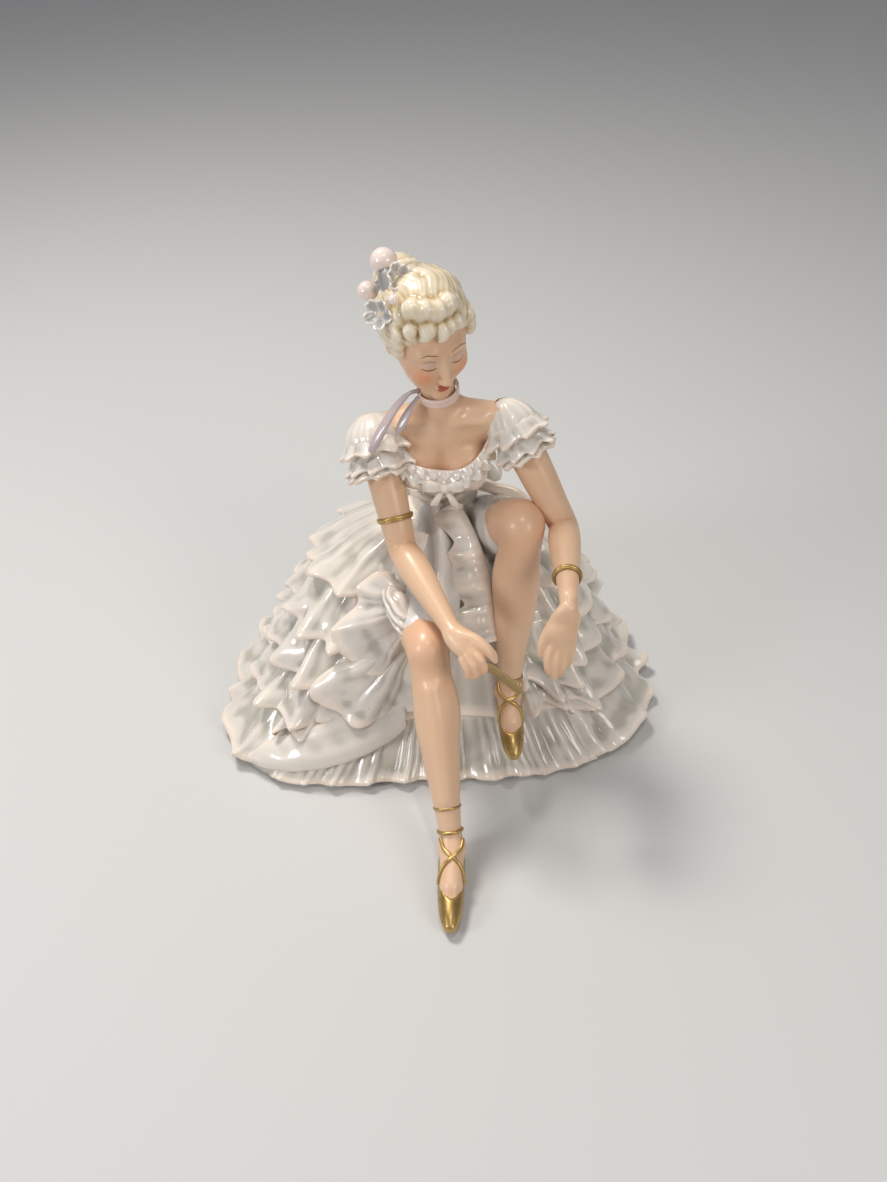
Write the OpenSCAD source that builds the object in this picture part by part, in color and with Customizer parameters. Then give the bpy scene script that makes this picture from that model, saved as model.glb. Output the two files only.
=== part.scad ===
// Seated porcelain dancer tying her shoe. The front faces -Y and the origin is on the table,
// at the middle of the skirt's footprint.

/* [Overall] */
// Height from the table to the top of the head
figure_h = 205; // [170:1:250]
// Width of the skirt from side to side
skirt_w = 200; // [170:1:240]
// Depth of the skirt from front hem to back hem
skirt_d = 138; // [118:1:166]

/* [Skirt casting] */
// Wall of the hollow skirt casting
wall = 3; // [2:0.5:5]
// Thickness of the closing plate
plate_t = 3; // [2:0.5:5]
// Diameter of the firing vent in the closing plate
vent_d = 12; // [6:1:24]
// Clearance between the closing plate and the casting
plate_gap = 0.2; // [0.1:0.05:0.5]

/* [Ruffles] */
// Thickness of the ruffles, drapes and frills
cloth_t = 2.2; // [1.6:0.1:3]
// How far a tier's free edge stands off the casting
flare = 7.5; // [6:0.5:10]
// Depth of a tier's waves
wave = 2.6; // [1:0.2:3.5]
// Waves round the lowest tier
tier_waves = 17; // [12:1:24]

/* [Trim] */
// Wire thickness of the armband and the bracelet
ring_wire = 1.7; // [1.2:0.1:2.4]
// Thickness of the gold ribbons
ribbon_t = 1.4; // [1:0.1:2]
// Diameter of the large ball in the hair
ball_d = 9.5; // [6:0.5:12]
// Thickness of the shoe leather over the foot
shoe_t = 1; // [0.6:0.1:1.6]

/* [Hidden] */

// Colours of the glazes
white = "#efe9e4";
shade = "#d9d3d2";
skin = "#e6bd9a";
blond = "#e0cf9c";
gold = "#a9803a";
lilac = "#b8a9ae";
peach = "#e3c5ae";
pink = "#e9cdc6";

// The body keeps its proportions, so every body point is scaled by the height
k = figure_h / 205;
out_x = skirt_w / 2;
out_y = skirt_d / 2;
core_x = out_x - flare - cloth_t;
core_y = out_y - flare - cloth_t;
skirt_square = 2.6;
waist_z = 97 * k;
waist_y = 7 * k;
waist_rx = 12.5 * k;
waist_ry = 9 * k;
// The front corner on the figure's right reaches further out than the rest of the hem
corner_a = -142;
corner_w = 24;
corner_reach = 0.17;
lap_drop = 0.13;
hem_z = 0.8;
contact = 0.05;

// ---- points, curves and closed sheets ----
function unit(v) = v / norm(v);
function mix(a, b, t) = a + (b - a) * t;
function bump(x, w) = exp(-pow(x / w, 2));
function xyz(p) = [p[0], p[1], p[2]];
function spline(a, b, c, d, t) =
    b + 0.5 * t * ((c - a) + t * ((2 * a - 5 * b + 4 * c - d) + t * (3 * (b - c) + d - a)));
function curve(p, n) = [
    for (i = [0:len(p) - 2])
        for (j = [0:n - 1])
            spline(p[max(i - 1, 0)], p[i], p[i + 1], p[min(i + 2, len(p) - 1)], j / n),
    p[len(p) - 1]
];
function body(x, y, z, rx, ry) = [x, y, z, rx, ry == undef ? rx : ry] * k;

// Closed loft through rings of equally many points
module skin_over(rings) {
    n = len(rings[0]);
    m = len(rings);
    last = (m - 1) * n;
    middle = function(ring) [for (c = [0:2]) [for (p = ring) p[c]] * [for (p = ring) 1 / n]];
    points = concat([for (r = rings) for (p = r) p], [middle(rings[0]), middle(rings[m - 1])]);
    sides = [
        for (i = [0:m - 2])
            for (j = [0:n - 1])
                let (a = i * n + j, b = i * n + (j + 1) % n)
                    each [[a, b + n, b], [a, a + n, b + n]]
    ];
    ends = [for (j = [0:n - 1]) each [[m * n, j, (j + 1) % n], [m * n + 1, last + (j + 1) % n, last + j]]];
    polyhedron(points, concat(sides, ends));
}

// Rounded limb along points of the form [x, y, z, radius across, radius along the side vector's normal]
module limb(p, n = 2, sides = 10, side = [1, 0, 0], bulge = function(t, a) 0) {
    q = curve(p, n);
    m = len(q);
    rings = [
        for (i = [0:m - 1])
            let (
                dir = unit(xyz(q[min(i + 1, m - 1)]) - xyz(q[max(i - 1, 0)])),
                v = unit(cross(dir, side)),
                u = cross(v, dir)
            )
                [
                    for (j = [0:sides - 1])
                        let (a = 360 * j / sides, grow = 1 + bulge(i / (m - 1), a))
                            xyz(q[i]) + (u * q[i][3] * cos(a) + v * q[i][4] * sin(a)) * grow
                ]
    ];
    skin_over(rings);
}

// Closed sheet: place(s, t, face) gives a point for s and t from 0 to 1 on the face 0 (inner) or 1 (outer)
module sheet(place, ns, nt) {
    w = nt + 1;
    half = (ns + 1) * w;
    points = [for (face = [0, 1]) for (i = [0:ns]) for (j = [0:nt]) place(i / ns, j / nt, face)];
    panels = [
        for (i = [0:ns - 1])
            for (j = [0:nt - 1])
                let (a = i * w + j, b = a + w)
                    each [
                        [a, b + 1, b], [a, a + 1, b + 1],
                        [half + a, half + b, half + b + 1], [half + a, half + b + 1, half + a + 1]
                    ]
    ];
    end_rims = [
        for (j = [0:nt - 1])
            let (a = j, b = ns * w + j)
                each [
                    [a, half + a, half + a + 1], [a, half + a + 1, a + 1],
                    [b, half + b + 1, half + b], [b, b + 1, half + b + 1]
                ]
    ];
    side_rims = [
        for (i = [0:ns - 1])
            let (a = i * w, b = a + nt)
                each [
                    [a, half + a + w, half + a], [a, a + w, half + a + w],
                    [b, half + b, half + b + w], [b, half + b + w, b + w]
                ]
    ];
    polyhedron(points, concat(panels, end_rims, side_rims));
}

// Turns +Z to a direction at a point
module aimed(p, d) {
    u = unit(d);
    translate(p) rotate([0, acos(u[2]), atan2(u[1], u[0])]) children();
}

// Cuts faceted pieces as one mesh
module carve() {
    resize([0, 0, 0]) difference() {
        children(0);
        children([1:max(1, $children - 1)]);
    }
}

// ---- the skirt's casting, which every cloth piece is laid on ----
function oval(a, rx, ry, n) = pow(pow(abs(cos(a) / rx), n) + pow(abs(sin(a) / ry), n), -1 / n);
function turn(a) = a > 180 ? turn(a - 360) : a < -180 ? turn(a + 360) : a;
function hem_r(a) =
    oval(a, core_x, core_y, skirt_square) * (1 + corner_reach * bump(turn(a - corner_a), corner_w));
function dome(a) = 0.62 - lap_drop * bump(turn(a + 80), 50);
function spread(a, u) = dome(a) * pow(1 - pow(u, 4), 0.8) + (1 - dome(a)) * pow(1 - u, 3);
function core(a, z, inset = 0) =
    let (
        u = min(max(z / waist_z, 0), 1),
        r = mix(oval(a, waist_rx, waist_ry, 2), hem_r(a), spread(a, u)) - inset
    )
        [r * cos(a), waist_y * u + r * sin(a), z];
function lift(a, z) = unit([cos(a), sin(a), 0.9 * min(max(z / waist_z, 0), 1)]);
function on_core(a, z, off) = core(a, z) + lift(a, z) * off;

core_sides = 36;
core_levels = [0, 0.12, 0.26, 0.42, 0.6, 0.77, 0.9, 0.96, 1];
function core_ring(z, inset) = [for (i = [0:core_sides - 1]) core(360 * i / core_sides, z, inset)];

module core_solid() {
    skin_over([for (u = core_levels) core_ring(u * waist_z, 0)]);
}

module skirt_core() {
    roof = 0.8;
    inner = [for (u = core_levels) if (u <= roof) core_ring(u * waist_z, wall)];
    outer = [for (u = core_levels) core_ring(u * waist_z, 0)];
    color(white) skin_over(concat([for (i = [len(inner) - 1:-1:0]) inner[i]], outer));
}

module base_plate() {
    outline = [for (p = core_ring(plate_t, wall + plate_gap)) [p[0], p[1]]];
    color(shade) difference() {
        linear_extrude(plate_t) polygon(outline);
        translate([0, 0, -1]) cylinder(d = vent_d, h = plate_t + 2, $fn = 64);
    }
}

module below_table() {
    translate([0, 0, hem_z - skirt_w]) cube(skirt_w * 2, center = true);
}

// ---- ruffle tiers ----
// Free edges and seams, as shares of the waist's height, from the lowest tier up
edge_u = [0, 0.2, 0.39, 0.57, 0.75];
seam_u = [0.27, 0.45, 0.63, 0.81, 0.95];
tier_steps = 4;
tier_from = -36;
tier_to = 216;

// A band of cloth gathered at its seam, with waves that grow to its free edge
function ruffle_at(from, to, seam_z, edge_z, stand, deep, waves, phase, under = 0) = function(s, t, face)
    let (
        a = mix(from, to, s),
        ripple = sin(360 * waves * s + phase),
        twist = cos(360 * waves * s + phase) * (to - from) * 0.095 / waves * pow(t, 2),
        off = under + face * cloth_t + pow(t, 1.4) * stand + pow(t, 1.2) * deep * ripple,
        drop = mix(seam_z, edge_z, t) + deep * 0.5 * t * (1 + cos(360 * waves * s + phase + 70))
    )
        on_core(a + twist, drop, off + contact);

module tier(i) {
    count = round(tier_waves * mix(1, 0.55, i / 4));
    stand = flare - wave * 0.4;
    color(white)
        sheet(
            ruffle_at(tier_from, tier_to, seam_u[i] * waist_z, max(edge_u[i] * waist_z, hem_z), stand, wave,
                count, 40 * i),
            count * tier_steps, 2
        );
}

module petticoat() {
    plain = ruffle_at(-139, -40, 0.57 * waist_z, flounce_seam_z, 0, 0.3, 9, 0, 0.3);
    color(white) carve() {
        sheet(plain, 24, 3);
        leg_solid("left");
        foot_solid("left", shoe_t);
    }
}

flounce_seam_z = 24 * k;
over_petticoat = cloth_t + 0.6;
module flounce() {
    stand = flare - 1.2;
    color(white)
        sheet(ruffle_at(-118, -38, flounce_seam_z - contact, hem_z, stand, 1.4, 16, 0), 64, 2);
}

module side_ruffle_upper() {
    color(white) carve() {
        sheet(ruffle_at(-49.5, -42, 58 * k, 37 * k, flare + 1, 2.6, 2, 0, over_petticoat), 12, 3);
        leg_solid("left");
    }
}

module side_ruffle_lower() {
    color(white) carve() {
        sheet(ruffle_at(-49.5, -39, 41 * k, 25 * k, flare + 1, 2.4, 2, 160, over_petticoat), 12, 3);
        leg_solid("left");
        foot_solid("left", shoe_t);
    }
}

module drape_flap() {
    color(white) carve() {
        sheet(ruffle_at(-140, -106, 70 * k, 29 * k, flare + 5, 2.4, 1.5, 200, over_petticoat), 12, 4);
        leg_solid("right");
        overskirt_lap();
    }
}

module pocket_ruffles() {
    color(white) sheet(ruffle_at(-138, -124, 30 * k, 19 * k, 2.4, 1.6, 2.5, 90, over_petticoat), 15, 3);
}

// The fold narrows at both of its ends
function fold_end(t) = pow(sin(180 * mix(0.12, 0.86, t)), 0.5);
module train_fold() {
    path = [
        for (t = [0:0.2:1])
            let (a = mix(-109, -139, t), p = on_core(a, mix(5.8, 24, pow(1 - t, 1.7)) * k, 9))
                [p[0], p[1], p[2], mix(5, 8, t) * fold_end(t), mix(3.6, 5.4, t) * fold_end(t)]
    ];
    color(peach) carve() {
        limb(path, 1, 9, [0, 0, 1]);
        core_solid();
        flounce();
        petticoat();
        below_table();
    }
}

// ---- overskirt ----
module overskirt_lap() {
    gathers = function(t, a) 0.07 * sin(7 * a) * t;
    color(shade) carve() {
        limb([
            body(0, -1, 92, 11, 7), body(-3, -14, 83, 14, 9), body(-5, -29, 76, 14.5, 10),
            body(-6, -44, 73, 12.5, 11)
        ], 2, 16, [1, 0, 0], gathers);
        leg_solid("right");
        leg_solid("left");
        core_solid();
        petticoat();
        bodice();
    }
}

module overskirt_thigh() {
    gathers = function(t, a) 0.06 * sin(6 * a) * t;
    color(white) carve() {
        limb([
            body(13, 11, 80, 13, 12), body(19, 0, 88, 13.5, 12.5), body(24, -9, 95, 12.5, 12)
        ], 2, 16, [1, 0, 0], gathers);
        leg_solid("left");
        core_solid();
        tier(4);
        bodice();
        overskirt_lap();
    }
}

module drape_knot() {
    color(white) carve() {
        limb([
            body(-20, -30, 80, 2.5), body(-16, -37, 82, 5.5, 4.5), body(-14, -45, 79, 5, 4),
            body(-14, -50, 75, 2)
        ], 2, 15, [1, 0, 0], function(t, a) 0.12 * sin(5 * a));
        leg_solid("right");
        overskirt_lap();
        drape_flap();
    }
}

module cascade() {
    place = function(s, t, face)
        let (
            z = mix(96, 48, s) * k,
            ripple = sin(360 * 3 * s),
            a = mix(-62, -92, t) - 5 * t * ripple,
            off = (face * cloth_t + 3 + 4 * sin(180 * min(t * 1.2, 1)) + 1.4 * t * cos(360 * 3 * s))
        )
            on_core(a, z, off + 7 * s);
    color(white) carve() {
        sheet(place, 20, 3);
        leg_solid("left");
        leg_solid("right");
        overskirt_lap();
        overskirt_thigh();
        bodice();
    }
}

// ---- torso ----
chest_z = 124 * k;
// Torso sections: [x, y, z, half width, half depth]
torso = [
    body(0, 7, 97, 12.5, 9), body(0, 5, 106, 14, 9.6), body(-0.3, 2, 115, 17.5, 11.5),
    body(-0.5, -0.5, 124, 19.5, 12), body(-0.7, -2, 132, 20, 10.5), body(-0.8, -3.5, 139, 18.5, 8.6),
    body(-1, -4.5, 144, 12.5, 7.6), body(-1.2, -5.5, 148, 8, 7), body(-1.8, -6.8, 155, 6.6, 6.6),
    body(-3, -7.6, 161, 6.6, 6.8), body(-4.5, -7.4, 167, 6.4, 6.8)
];
torso_sides = 22;
bodice_levels = 3;
function torso_ring(p) = [
    for (j = [0:torso_sides - 1])
        let (a = 360 * j / torso_sides)
            [p[0] + p[3] * cos(a), p[1] + p[4] * sin(a) * (sin(a) < 0 ? 1 : 0.9), p[2]]
];
torso_curve = curve(torso, 2);

module bodice() {
    color(white) skin_over([for (i = [0:bodice_levels * 2]) torso_ring(torso_curve[i])]);
}

module bust_solid() {
    skin_over([for (i = [bodice_levels * 2:len(torso_curve) - 1]) torso_ring(torso_curve[i])]);
}

module bust() {
    color(skin) carve() {
        bust_solid();
        arm_bones(right);
        arm_bones(left);
    }
}

module neckline_ruffle() {
    chest = body(-0.5, -0.5, 124, 19.5, 12);
    place = function(s, t, face)
        let (
            a = mix(-20, -154, s),
            ripple = sin(360 * 13 * s),
            r = contact + face * cloth_t * 0.7 + t * 1.6 + 0.8 * t * ripple,
            rise = mix(-3.2, 3.4, t) * k + 3.5 * k * pow(abs(a + 90) / 78, 2) + 0.5 * t * cos(360 * 26 * s)
        )
            [
                chest[0] + (chest[3] + r) * cos(a),
                chest[1] + (chest[4] + r) * sin(a),
                chest[2] + rise
            ];
    color(white) carve() {
        sheet(place, 60, 1);
        bodice();
        bust_solid();
        arm_bones(right);
        arm_bones(left);
    }
}

module bodice_bow() {
    color(white) carve() {
        union() {
            for (side = [-1, 1]) {
                limb([
                    body(side * 0.4, -17.4, 122.5, 1.4), body(side * 3, -18.4, 124, 2.4, 1.5),
                    body(side * 6.4, -17.4, 123.6, 1.4, 1)
                ], 2, 8, [0, 0, 1]);
                limb([
                    body(side * 0.4, -17, 122, 1.2), body(side * 2.2, -15.8, 118, 1.7, 1),
                    body(side * 3.2, -13.8, 114.5, 1.3, 0.8)
                ], 1, 8, [1, 0, 0]);
            }
            limb([body(0, -16.8, 124.4, 1.2), body(0, -18.2, 122.8, 1.9), body(0, -17, 121, 1.2)], 1, 8);
        }
        bodice();
        neckline_ruffle();
    }
}

// ---- arms ----
shoulder = [[-26, -5, 136], [24.5, -9, 145]];
elbow = [[-15.8, -26.4, 98], [45.8, -23, 106.5]];
wrist = [[3.3, -64, 88.6], [44.3, -65, 105.4]];
right = 0;
left = 1;

function joint(p, r, q) = body(p[0], p[1], p[2], r, q);
function along(a, b, t) = mix(a, b, t);

module right_hand() {
    limb([
        joint(wrist[right], 4.1, 3.4), body(6.4, -68.5, 88, 5.4, 3.2), body(9.6, -71.5, 87, 5.2, 3),
        body(12, -73.5, 85, 3.4, 2.4)
    ], 2, 10, [0.4, -0.5, -0.8]);
    for (i = [0:3]) {
        reach = [17, 17.6, 17, 15.6][i];
        limb([
            body(9.4 - i * 0.9, -72, 87.4 - i * 1.9, 1.7), body(13.6 - i * 0.7, -74.6, 86 - i * 2.3, 1.6),
            body(reach, -73.4, 82.4 - i * 2.3, 1.3), body(reach - 0.4, -71, 80.4 - i * 2, 0.8)
        ], 1, 6, [1, 0, 0.2]);
    }
    limb([
        body(8, -69, 90, 1.9), body(12.6, -70.2, 91, 1.7), body(16.2, -70.6, 88.2, 1.4),
        body(17.6, -70.8, 85, 0.8)
    ], 1, 6, [0, 1, 0]);
}

module left_hand() {
    limb([
        joint(wrist[left], 4.1, 3.4), body(43.8, -69, 100, 5.2, 3.2), body(42.8, -71.5, 94, 5.4, 3),
        body(42, -73, 89, 4.8, 2.6)
    ], 2, 10, [1, 0, 0]);
    for (i = [0:3]) {
        drop = [78.2, 76, 76.4, 79][i];
        limb([
            body(39 + i * 2.3, -72.5, 91, 1.7), body(38.6 + i * 2.2, -75, 85, 1.6),
            body(38.8 + i * 2, -75, drop + 2.4, 1.3), body(39 + i * 1.9, -73.6, drop, 0.8)
        ], 1, 6, [1, 0, 0]);
    }
    limb([
        body(40, -68, 99, 1.9), body(37.2, -69.6, 93.6, 1.8), body(36.4, -71.4, 88, 1.5),
        body(36.6, -72.4, 84.6, 0.8)
    ], 1, 6, [0, 1, 0]);
}

module arm_bones(side) {
    limb([
        joint(along(shoulder[side], elbow[side], -0.12), 4.6), joint(shoulder[side], 6.6),
        joint(along(shoulder[side], elbow[side], 0.35), 7),
        joint(along(shoulder[side], elbow[side], 0.75), 6.3), joint(elbow[side], 5.7),
        joint(along(elbow[side], wrist[side], 0.25), 6.1), joint(along(elbow[side], wrist[side], 0.6), 5.2),
        joint(wrist[side], 4.1, 3.6)
    ], 2, 10, side == right ? [0.4, -0.5, -0.8] : [1, 0, 0]);
}

module arm_solid(side) {
    resize([0, 0, 0]) union() {
        arm_bones(side);
        if (side == right) right_hand();
        if (side == left) left_hand();
    }
}

module arm(side) {
    color(skin) arm_solid(side);
}

// ---- sleeves ----
// The figure's left sleeve is drawn up tighter than the right one
puff_r = [11.4, 8.6];
frill_r = [9.4, 7.2];
shoulder_row = 3.5;
cuff_row = 10;
function sleeve_axis(side) = unit(elbow[side] - shoulder[side]);
function sleeve_frame(side) =
    let (z = sleeve_axis(side), x = unit(cross([0, 1, 0.3], z))) [x, cross(z, x), z];

module puff(side) {
    f = sleeve_frame(side);
    top = shoulder[side] - f[2] * 9;
    steps = [0, 0.1, 0.28, 0.5, 0.72, 0.88, 1];
    rings = [
        for (t = steps)
            let (
                r = puff_r[side] * k * pow(sin(180 * mix(0.07, 0.84, t)), 0.7),
                c = (top + f[2] * 21 * t) * k
            )
                [
                    for (j = [0:17])
                        let (a = 20 * j, w = r * (1 + 0.05 * t * sin(6 * a)))
                            c + f[0] * w * cos(a) + f[1] * w * 0.92 * sin(a)
                ]
    ];
    skin_over(rings);
}

module sleeve(side) {
    color(white) carve() {
        puff(side);
        bust_solid();
        bodice();
        arm_bones(side);
        neckline_ruffle();
    }
}

// A frill round the sleeve, so far down from the shoulder
module sleeve_frill(side, row) {
    f = sleeve_frame(side);
    rings = [
        for (q = [[1.6, -0.4], [4.8, 2.4], [3.2, 2.6], [0, 0]])
            [
                for (j = [0:31])
                    let (
                        a = 11.25 * j,
                        loose = min(q[0] / 3, 1),
                        r = (frill_r[side] + q[0] + 0.8 * loose * sin(8 * a + row * 40)) * k,
                        d = row + q[1] + 0.7 * loose * cos(8 * a) - 2
                    )
                        (shoulder[side] + f[2] * d) * k + f[0] * r * cos(a) + f[1] * r * 0.92 * sin(a)
            ]
    ];
    color(white) carve() {
        skin_over(rings);
        puff(side);
        bust_solid();
        bodice();
        arm_bones(side);
        neck_ribbon();
        neckline_ruffle();
    }
}

// ---- legs ----
knee = [[-6, -56, 73.5], [29.6, -25, 108]];
ankle = [[3.3, -102, 12.5], [26.4, -45, 39.5]];
toe = [[2.5, -131, 4.4], [28, -67, 26.4]];

module leg_bones(side) {
    hip = side == right ? [-8.6, -36, 70] : [25.4, -14, 101];
    shin = function(t) along(knee[side], ankle[side], t);
    limb([
        joint(hip, 9), joint(along(hip, knee[side], 0.55), 9.5, 9.2), joint(knee[side], 8.9, 8.6),
        joint(shin(0.15), 8.3), joint(shin(0.35) + [0, 2, 0.6], 9, 9.2),
        joint(shin(0.6) + [0, 1, 0.3], 7.4, 7.8),
        joint(shin(0.85), 4.9, 5.2), joint(ankle[side], 4.6, 5.2)
    ], 2, 12);
}

module foot_solid(side_name, grow = 0) {
    side = side_name == "left" ? left : right;
    a = ankle[side];
    b = toe[side];
    heel = side == right ? [0, 4.5, -6] : [0, 6, -5.4];
    limb([
        joint(a + heel, 2.6 + grow, 2.4 + grow),
        joint(along(a + heel, b, 0.16) + [0, 0, 1.6], 4.6 + grow, 4.8 + grow),
        joint(along(a + heel, b, 0.45) + [0, 0, 0.8], 5.2 + grow, 4.6 + grow),
        joint(along(a + heel, b, 0.75), 5.6 + grow, 3.6 + grow),
        joint(along(a + heel, b, 0.96), 4.2 + grow, 3 + grow),
        joint(along(a + heel, b, 1) + unit(b - a) * grow, 2.4 + grow, 1.8 + grow)
    ], 1, 12);
}

module leg_solid(side_name) {
    side = side_name == "left" ? left : right;
    resize([0, 0, 0]) union() {
        leg_bones(side);
        limb([
            joint(along(knee[side], ankle[side], 0.97), 4.5, 5),
            joint(ankle[side] + [0, -4, -2.4], 4.7, 5),
            joint(along(ankle[side], toe[side], 0.5) + [0, 0, -1], 4.6, 4)
        ], 1, 12);
        foot_solid(side_name);
    }
}

module leg(side_name) {
    color(skin) leg_solid(side_name);
}

// The shoe covers the foot and is cut open over the instep
module shoe(side_name) {
    side = side_name == "left" ? left : right;
    a = ankle[side];
    b = toe[side];
    opening = along(a, b, 0.3) + [0, 0, 5.4];
    color(gold) carve() {
        foot_solid(side_name, shoe_t);
        leg_solid(side_name);
        aimed(opening * k, b - a) scale(k) cylinder(r1 = 6.6, r2 = 5, h = 15, center = true, $fn = 12);
        below_table();
    }
}

// A band round the ankle and straps over the instep
module ankle_band(side, t, r) {
    shin = knee[side] - ankle[side];
    aimed(along(ankle[side], knee[side], t) * k, shin)
        rotate_extrude($fn = 18) translate([r * k, 0]) circle(r = ribbon_t / 2, $fn = 6);
}

module strap(points) {
    limb([for (p = points) [p[0] * k, p[1] * k, p[2] * k, ribbon_t, ribbon_t * 0.55]], 1, 6, [0.6, 0, 0.8]);
}

module ankle_band_right() {
    color(gold) carve() {
        ankle_band(right, 0.2, 5.2);
        leg_solid("right");
    }
}

module ankle_ribbon_right() {
    a = ankle[right];
    color(gold) carve() {
        union() {
            ankle_band(right, 0.07, 5.1);
            for (m = [-1, 1]) {
                strap([
                    a + [4.6 * m, 1.4, 4.6], a + [3.4 * m, -3.8, 4], a + [0, -7.6, 2.4],
                    a + [-3.4 * m, -10.4, -0.8], a + [-4.8 * m, -12, -4]
                ]);
            }
        }
        leg_solid("right");
        shoe("right");
    }
}

module ankle_ribbon_left() {
    a = ankle[left];
    color(gold) carve() {
        union() {
            ankle_band(left, 0.09, 5.1);
            for (m = [-1, 1]) {
                strap([
                    a + [4.6 * m, -1, 6], a + [3.2 * m, -5.4, 3.2], a + [0, -8, 0.4],
                    a + [-3.4 * m, -9.8, -3.4],
                    a + [-4.8 * m, -10.4, -6]
                ]);
            }
        }
        leg_solid("left");
        shoe("left");
    }
}

module shoe_ribbon() {
    color(gold) carve() {
        limb([
            body(16.4, -73.4, 80.6, 1.1, 0.6), body(17.6, -70.8, 77, 1.5, 0.7), body(21, -66.4, 70, 1.5, 0.7),
            body(26.4, -58.8, 57, 1.2, 0.7)
        ], 2, 8, [0.8, 0, 0.6]);
        arm_solid(right);
        ankle_ribbon_left();
        leg_solid("left");
    }
}

// ---- gold rings: true tori round the arms ----
module arm_ring(side, from, to, t, r) {
    color(gold)
        aimed(along(from, to, t) * k, to - from)
            rotate_extrude($fn = 48) translate([r * k + ring_wire / 2, 0]) circle(d = ring_wire, $fn = 24);
}

module armband() {
    arm_ring(right, shoulder[right], elbow[right], 0.72, 6.5);
}

module bracelet() {
    arm_ring(left, elbow[left], wrist[left], 0.72, 5);
}

// ---- head ----
head_at = [-6.4, -9, 179.6];
head_yaw = 27;
head_bow = 18;
head_roll = 8;
head_f = [sin(head_yaw) * cos(head_bow), -cos(head_yaw) * cos(head_bow), -sin(head_bow)];
head_s0 = [cos(head_yaw), sin(head_yaw), 0];
head_u0 = cross(head_s0, head_f) * -1;
head_s = head_s0 * cos(head_roll) + head_u0 * sin(head_roll);
head_u = head_u0 * cos(head_roll) - head_s0 * sin(head_roll);

// A point on the head: az is 0 at the face and grows to the figure's left, el is 90 at the crown
function skull(az, el) =
    let (
        low = max(0, -sin(el)),
        side = 15 - 3.4 * low * low,
        front = abs(az) < 90 ? 17 : 18.5,
        nose = 3.6 * bump(az, 9) * bump(el + 9, 8) + 1.6 * bump(az, 8) * bump(el - 2, 9),
        chin = 2.6 * bump(az, 24) * bump(el + 52, 13),
        mouth = 1.3 * bump(az, 16) * bump(el + 32, 6),
        brow = 0.8 * bump(abs(az) - 24, 14) * bump(el - 14, 6),
        eyes = -1.3 * bump(abs(az) - 24, 11) * bump(el - 3, 6),
        cheek = 0.7 * bump(abs(az) - 38, 16) * bump(el + 16, 14)
    )
        [side, front, 21.8 - 0.6 * low, nose + chin + mouth + brow + eyes + cheek];
function head_point(az, el, off = 0) =
    let (q = skull(az, el), x = cos(el) * sin(az), y = cos(el) * cos(az), z = sin(el), g = q[3] + off)
        (head_at + head_s * x * (q[0] + g) + head_f * y * (q[1] + g) + head_u * z * (q[2] + g)) * k;

module head_solid() {
    skin_over([for (el = [-80:10:80]) [for (j = [0:23]) head_point(turn(j * 15 - 180), el)]]);
}

module head() {
    color(skin) carve() {
        head_solid();
        bust_solid();
    }
}

// ---- hair ----
function hairline(az) = 1 + 37 * cos(az);
function hair_off(az, t) = 2 + 1.8 * sin(180 * min(t * 0.8 + 0.1, 1)) + 0.5 * sin(az * 9 + 200 * t);

module hair_solid() {
    skin_over([
        for (t = [0:0.16:0.97])
            [
                for (j = [0:27])
                    let (az = turn(j * 360 / 28 - 180))
                        head_point(az, mix(hairline(az), 88, t), hair_off(az, t))
            ]
    ]);
}

module hair_cap() {
    color(blond) carve() {
        hair_solid();
        head_solid();
        bust_solid();
    }
}

module lock(places, r) {
    limb([
        for (i = [0:len(places) - 1])
            let (p = head_point(places[i][0], places[i][1], places[i][2]), w = r * [0.5, 1, 0.95, 0.4][i] * k)
                [p[0], p[1], p[2], w, w * 0.85]
    ], 2, 6, [0.2, 0.4, 0.9]);
}

module hair_piece() {
    color(blond) carve() {
        union() children();
        hair_solid();
        head_solid();
    }
}

module hair_roll() {
    lumps = function(t, a) -0.14 * cos(360 * 4 * t);
    color(blond) carve() {
        limb([
            for (q = [[-64, 44, 2], [-44, 49, 4.6], [-16, 51, 5], [12, 50, 4.6], [30, 44, 2]])
                let (p = head_point(q[0], q[1], 3)) [p[0], p[1], p[2], q[2] * 0.9 * k, q[2] * k]
        ], 4, 8, [0.2, 0.4, 0.9], lumps);
        hair_solid();
        head_solid();
    }
}

module fringe() {
    color(blond) carve() {
        union() {
            for (az = [-20, -9, 2])
                lock([[az - 4, 42, 3], [az + 4, 36, 3.4], [az + 5, 30, 2.4], [az + 1, 24, 1]], 3.4);
        }
        hair_solid();
        head_solid();
        hair_roll();
    }
}

// Small curls in front of the ear; m is -1 on the figure's right
module temple_curls(m) {
    hair_piece()
        for (el = [16, 4])
            lock([[62 * m, el + 9, 2], [58 * m, el + 3, 3], [60 * m, el - 3, 3], [66 * m, el - 8, 1.5]], 2.6);
}

module chignon() {
    base = head_point(180, 6, -2) / k;
    out = unit(head_point(180, 6, 8) - head_point(180, 6, 0));
    twist = function(t, a) 0.07 * sin(5 * a + 240 * t);
    color(blond) carve() {
        limb([
            for (q = [[0, 5], [4, 9.4], [8.5, 10], [12.5, 7], [14.6, 2.4]])
                let (p = base + out * q[0]) body(p[0], p[1], p[2], q[1])
        ], 2, 20, [1, 0, 0], twist);
        hair_solid();
        head_solid();
    }
}

// ---- hair ornament ----
ball_at = [-20.4, -3, 203];
small_ball_at = [-26.4, -1.5, 191.5];
pearl_at = [-16.6, -22.6, 197.8];
flower_at = [-19.2, -4, 195.6];

module hair_ball_large() {
    color(white) translate(ball_at * k) sphere(d = ball_d * k, $fn = 48);
}

module hair_ball_small() {
    color(white) translate(small_ball_at * k) sphere(d = ball_d * 0.78 * k, $fn = 48);
}

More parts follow.
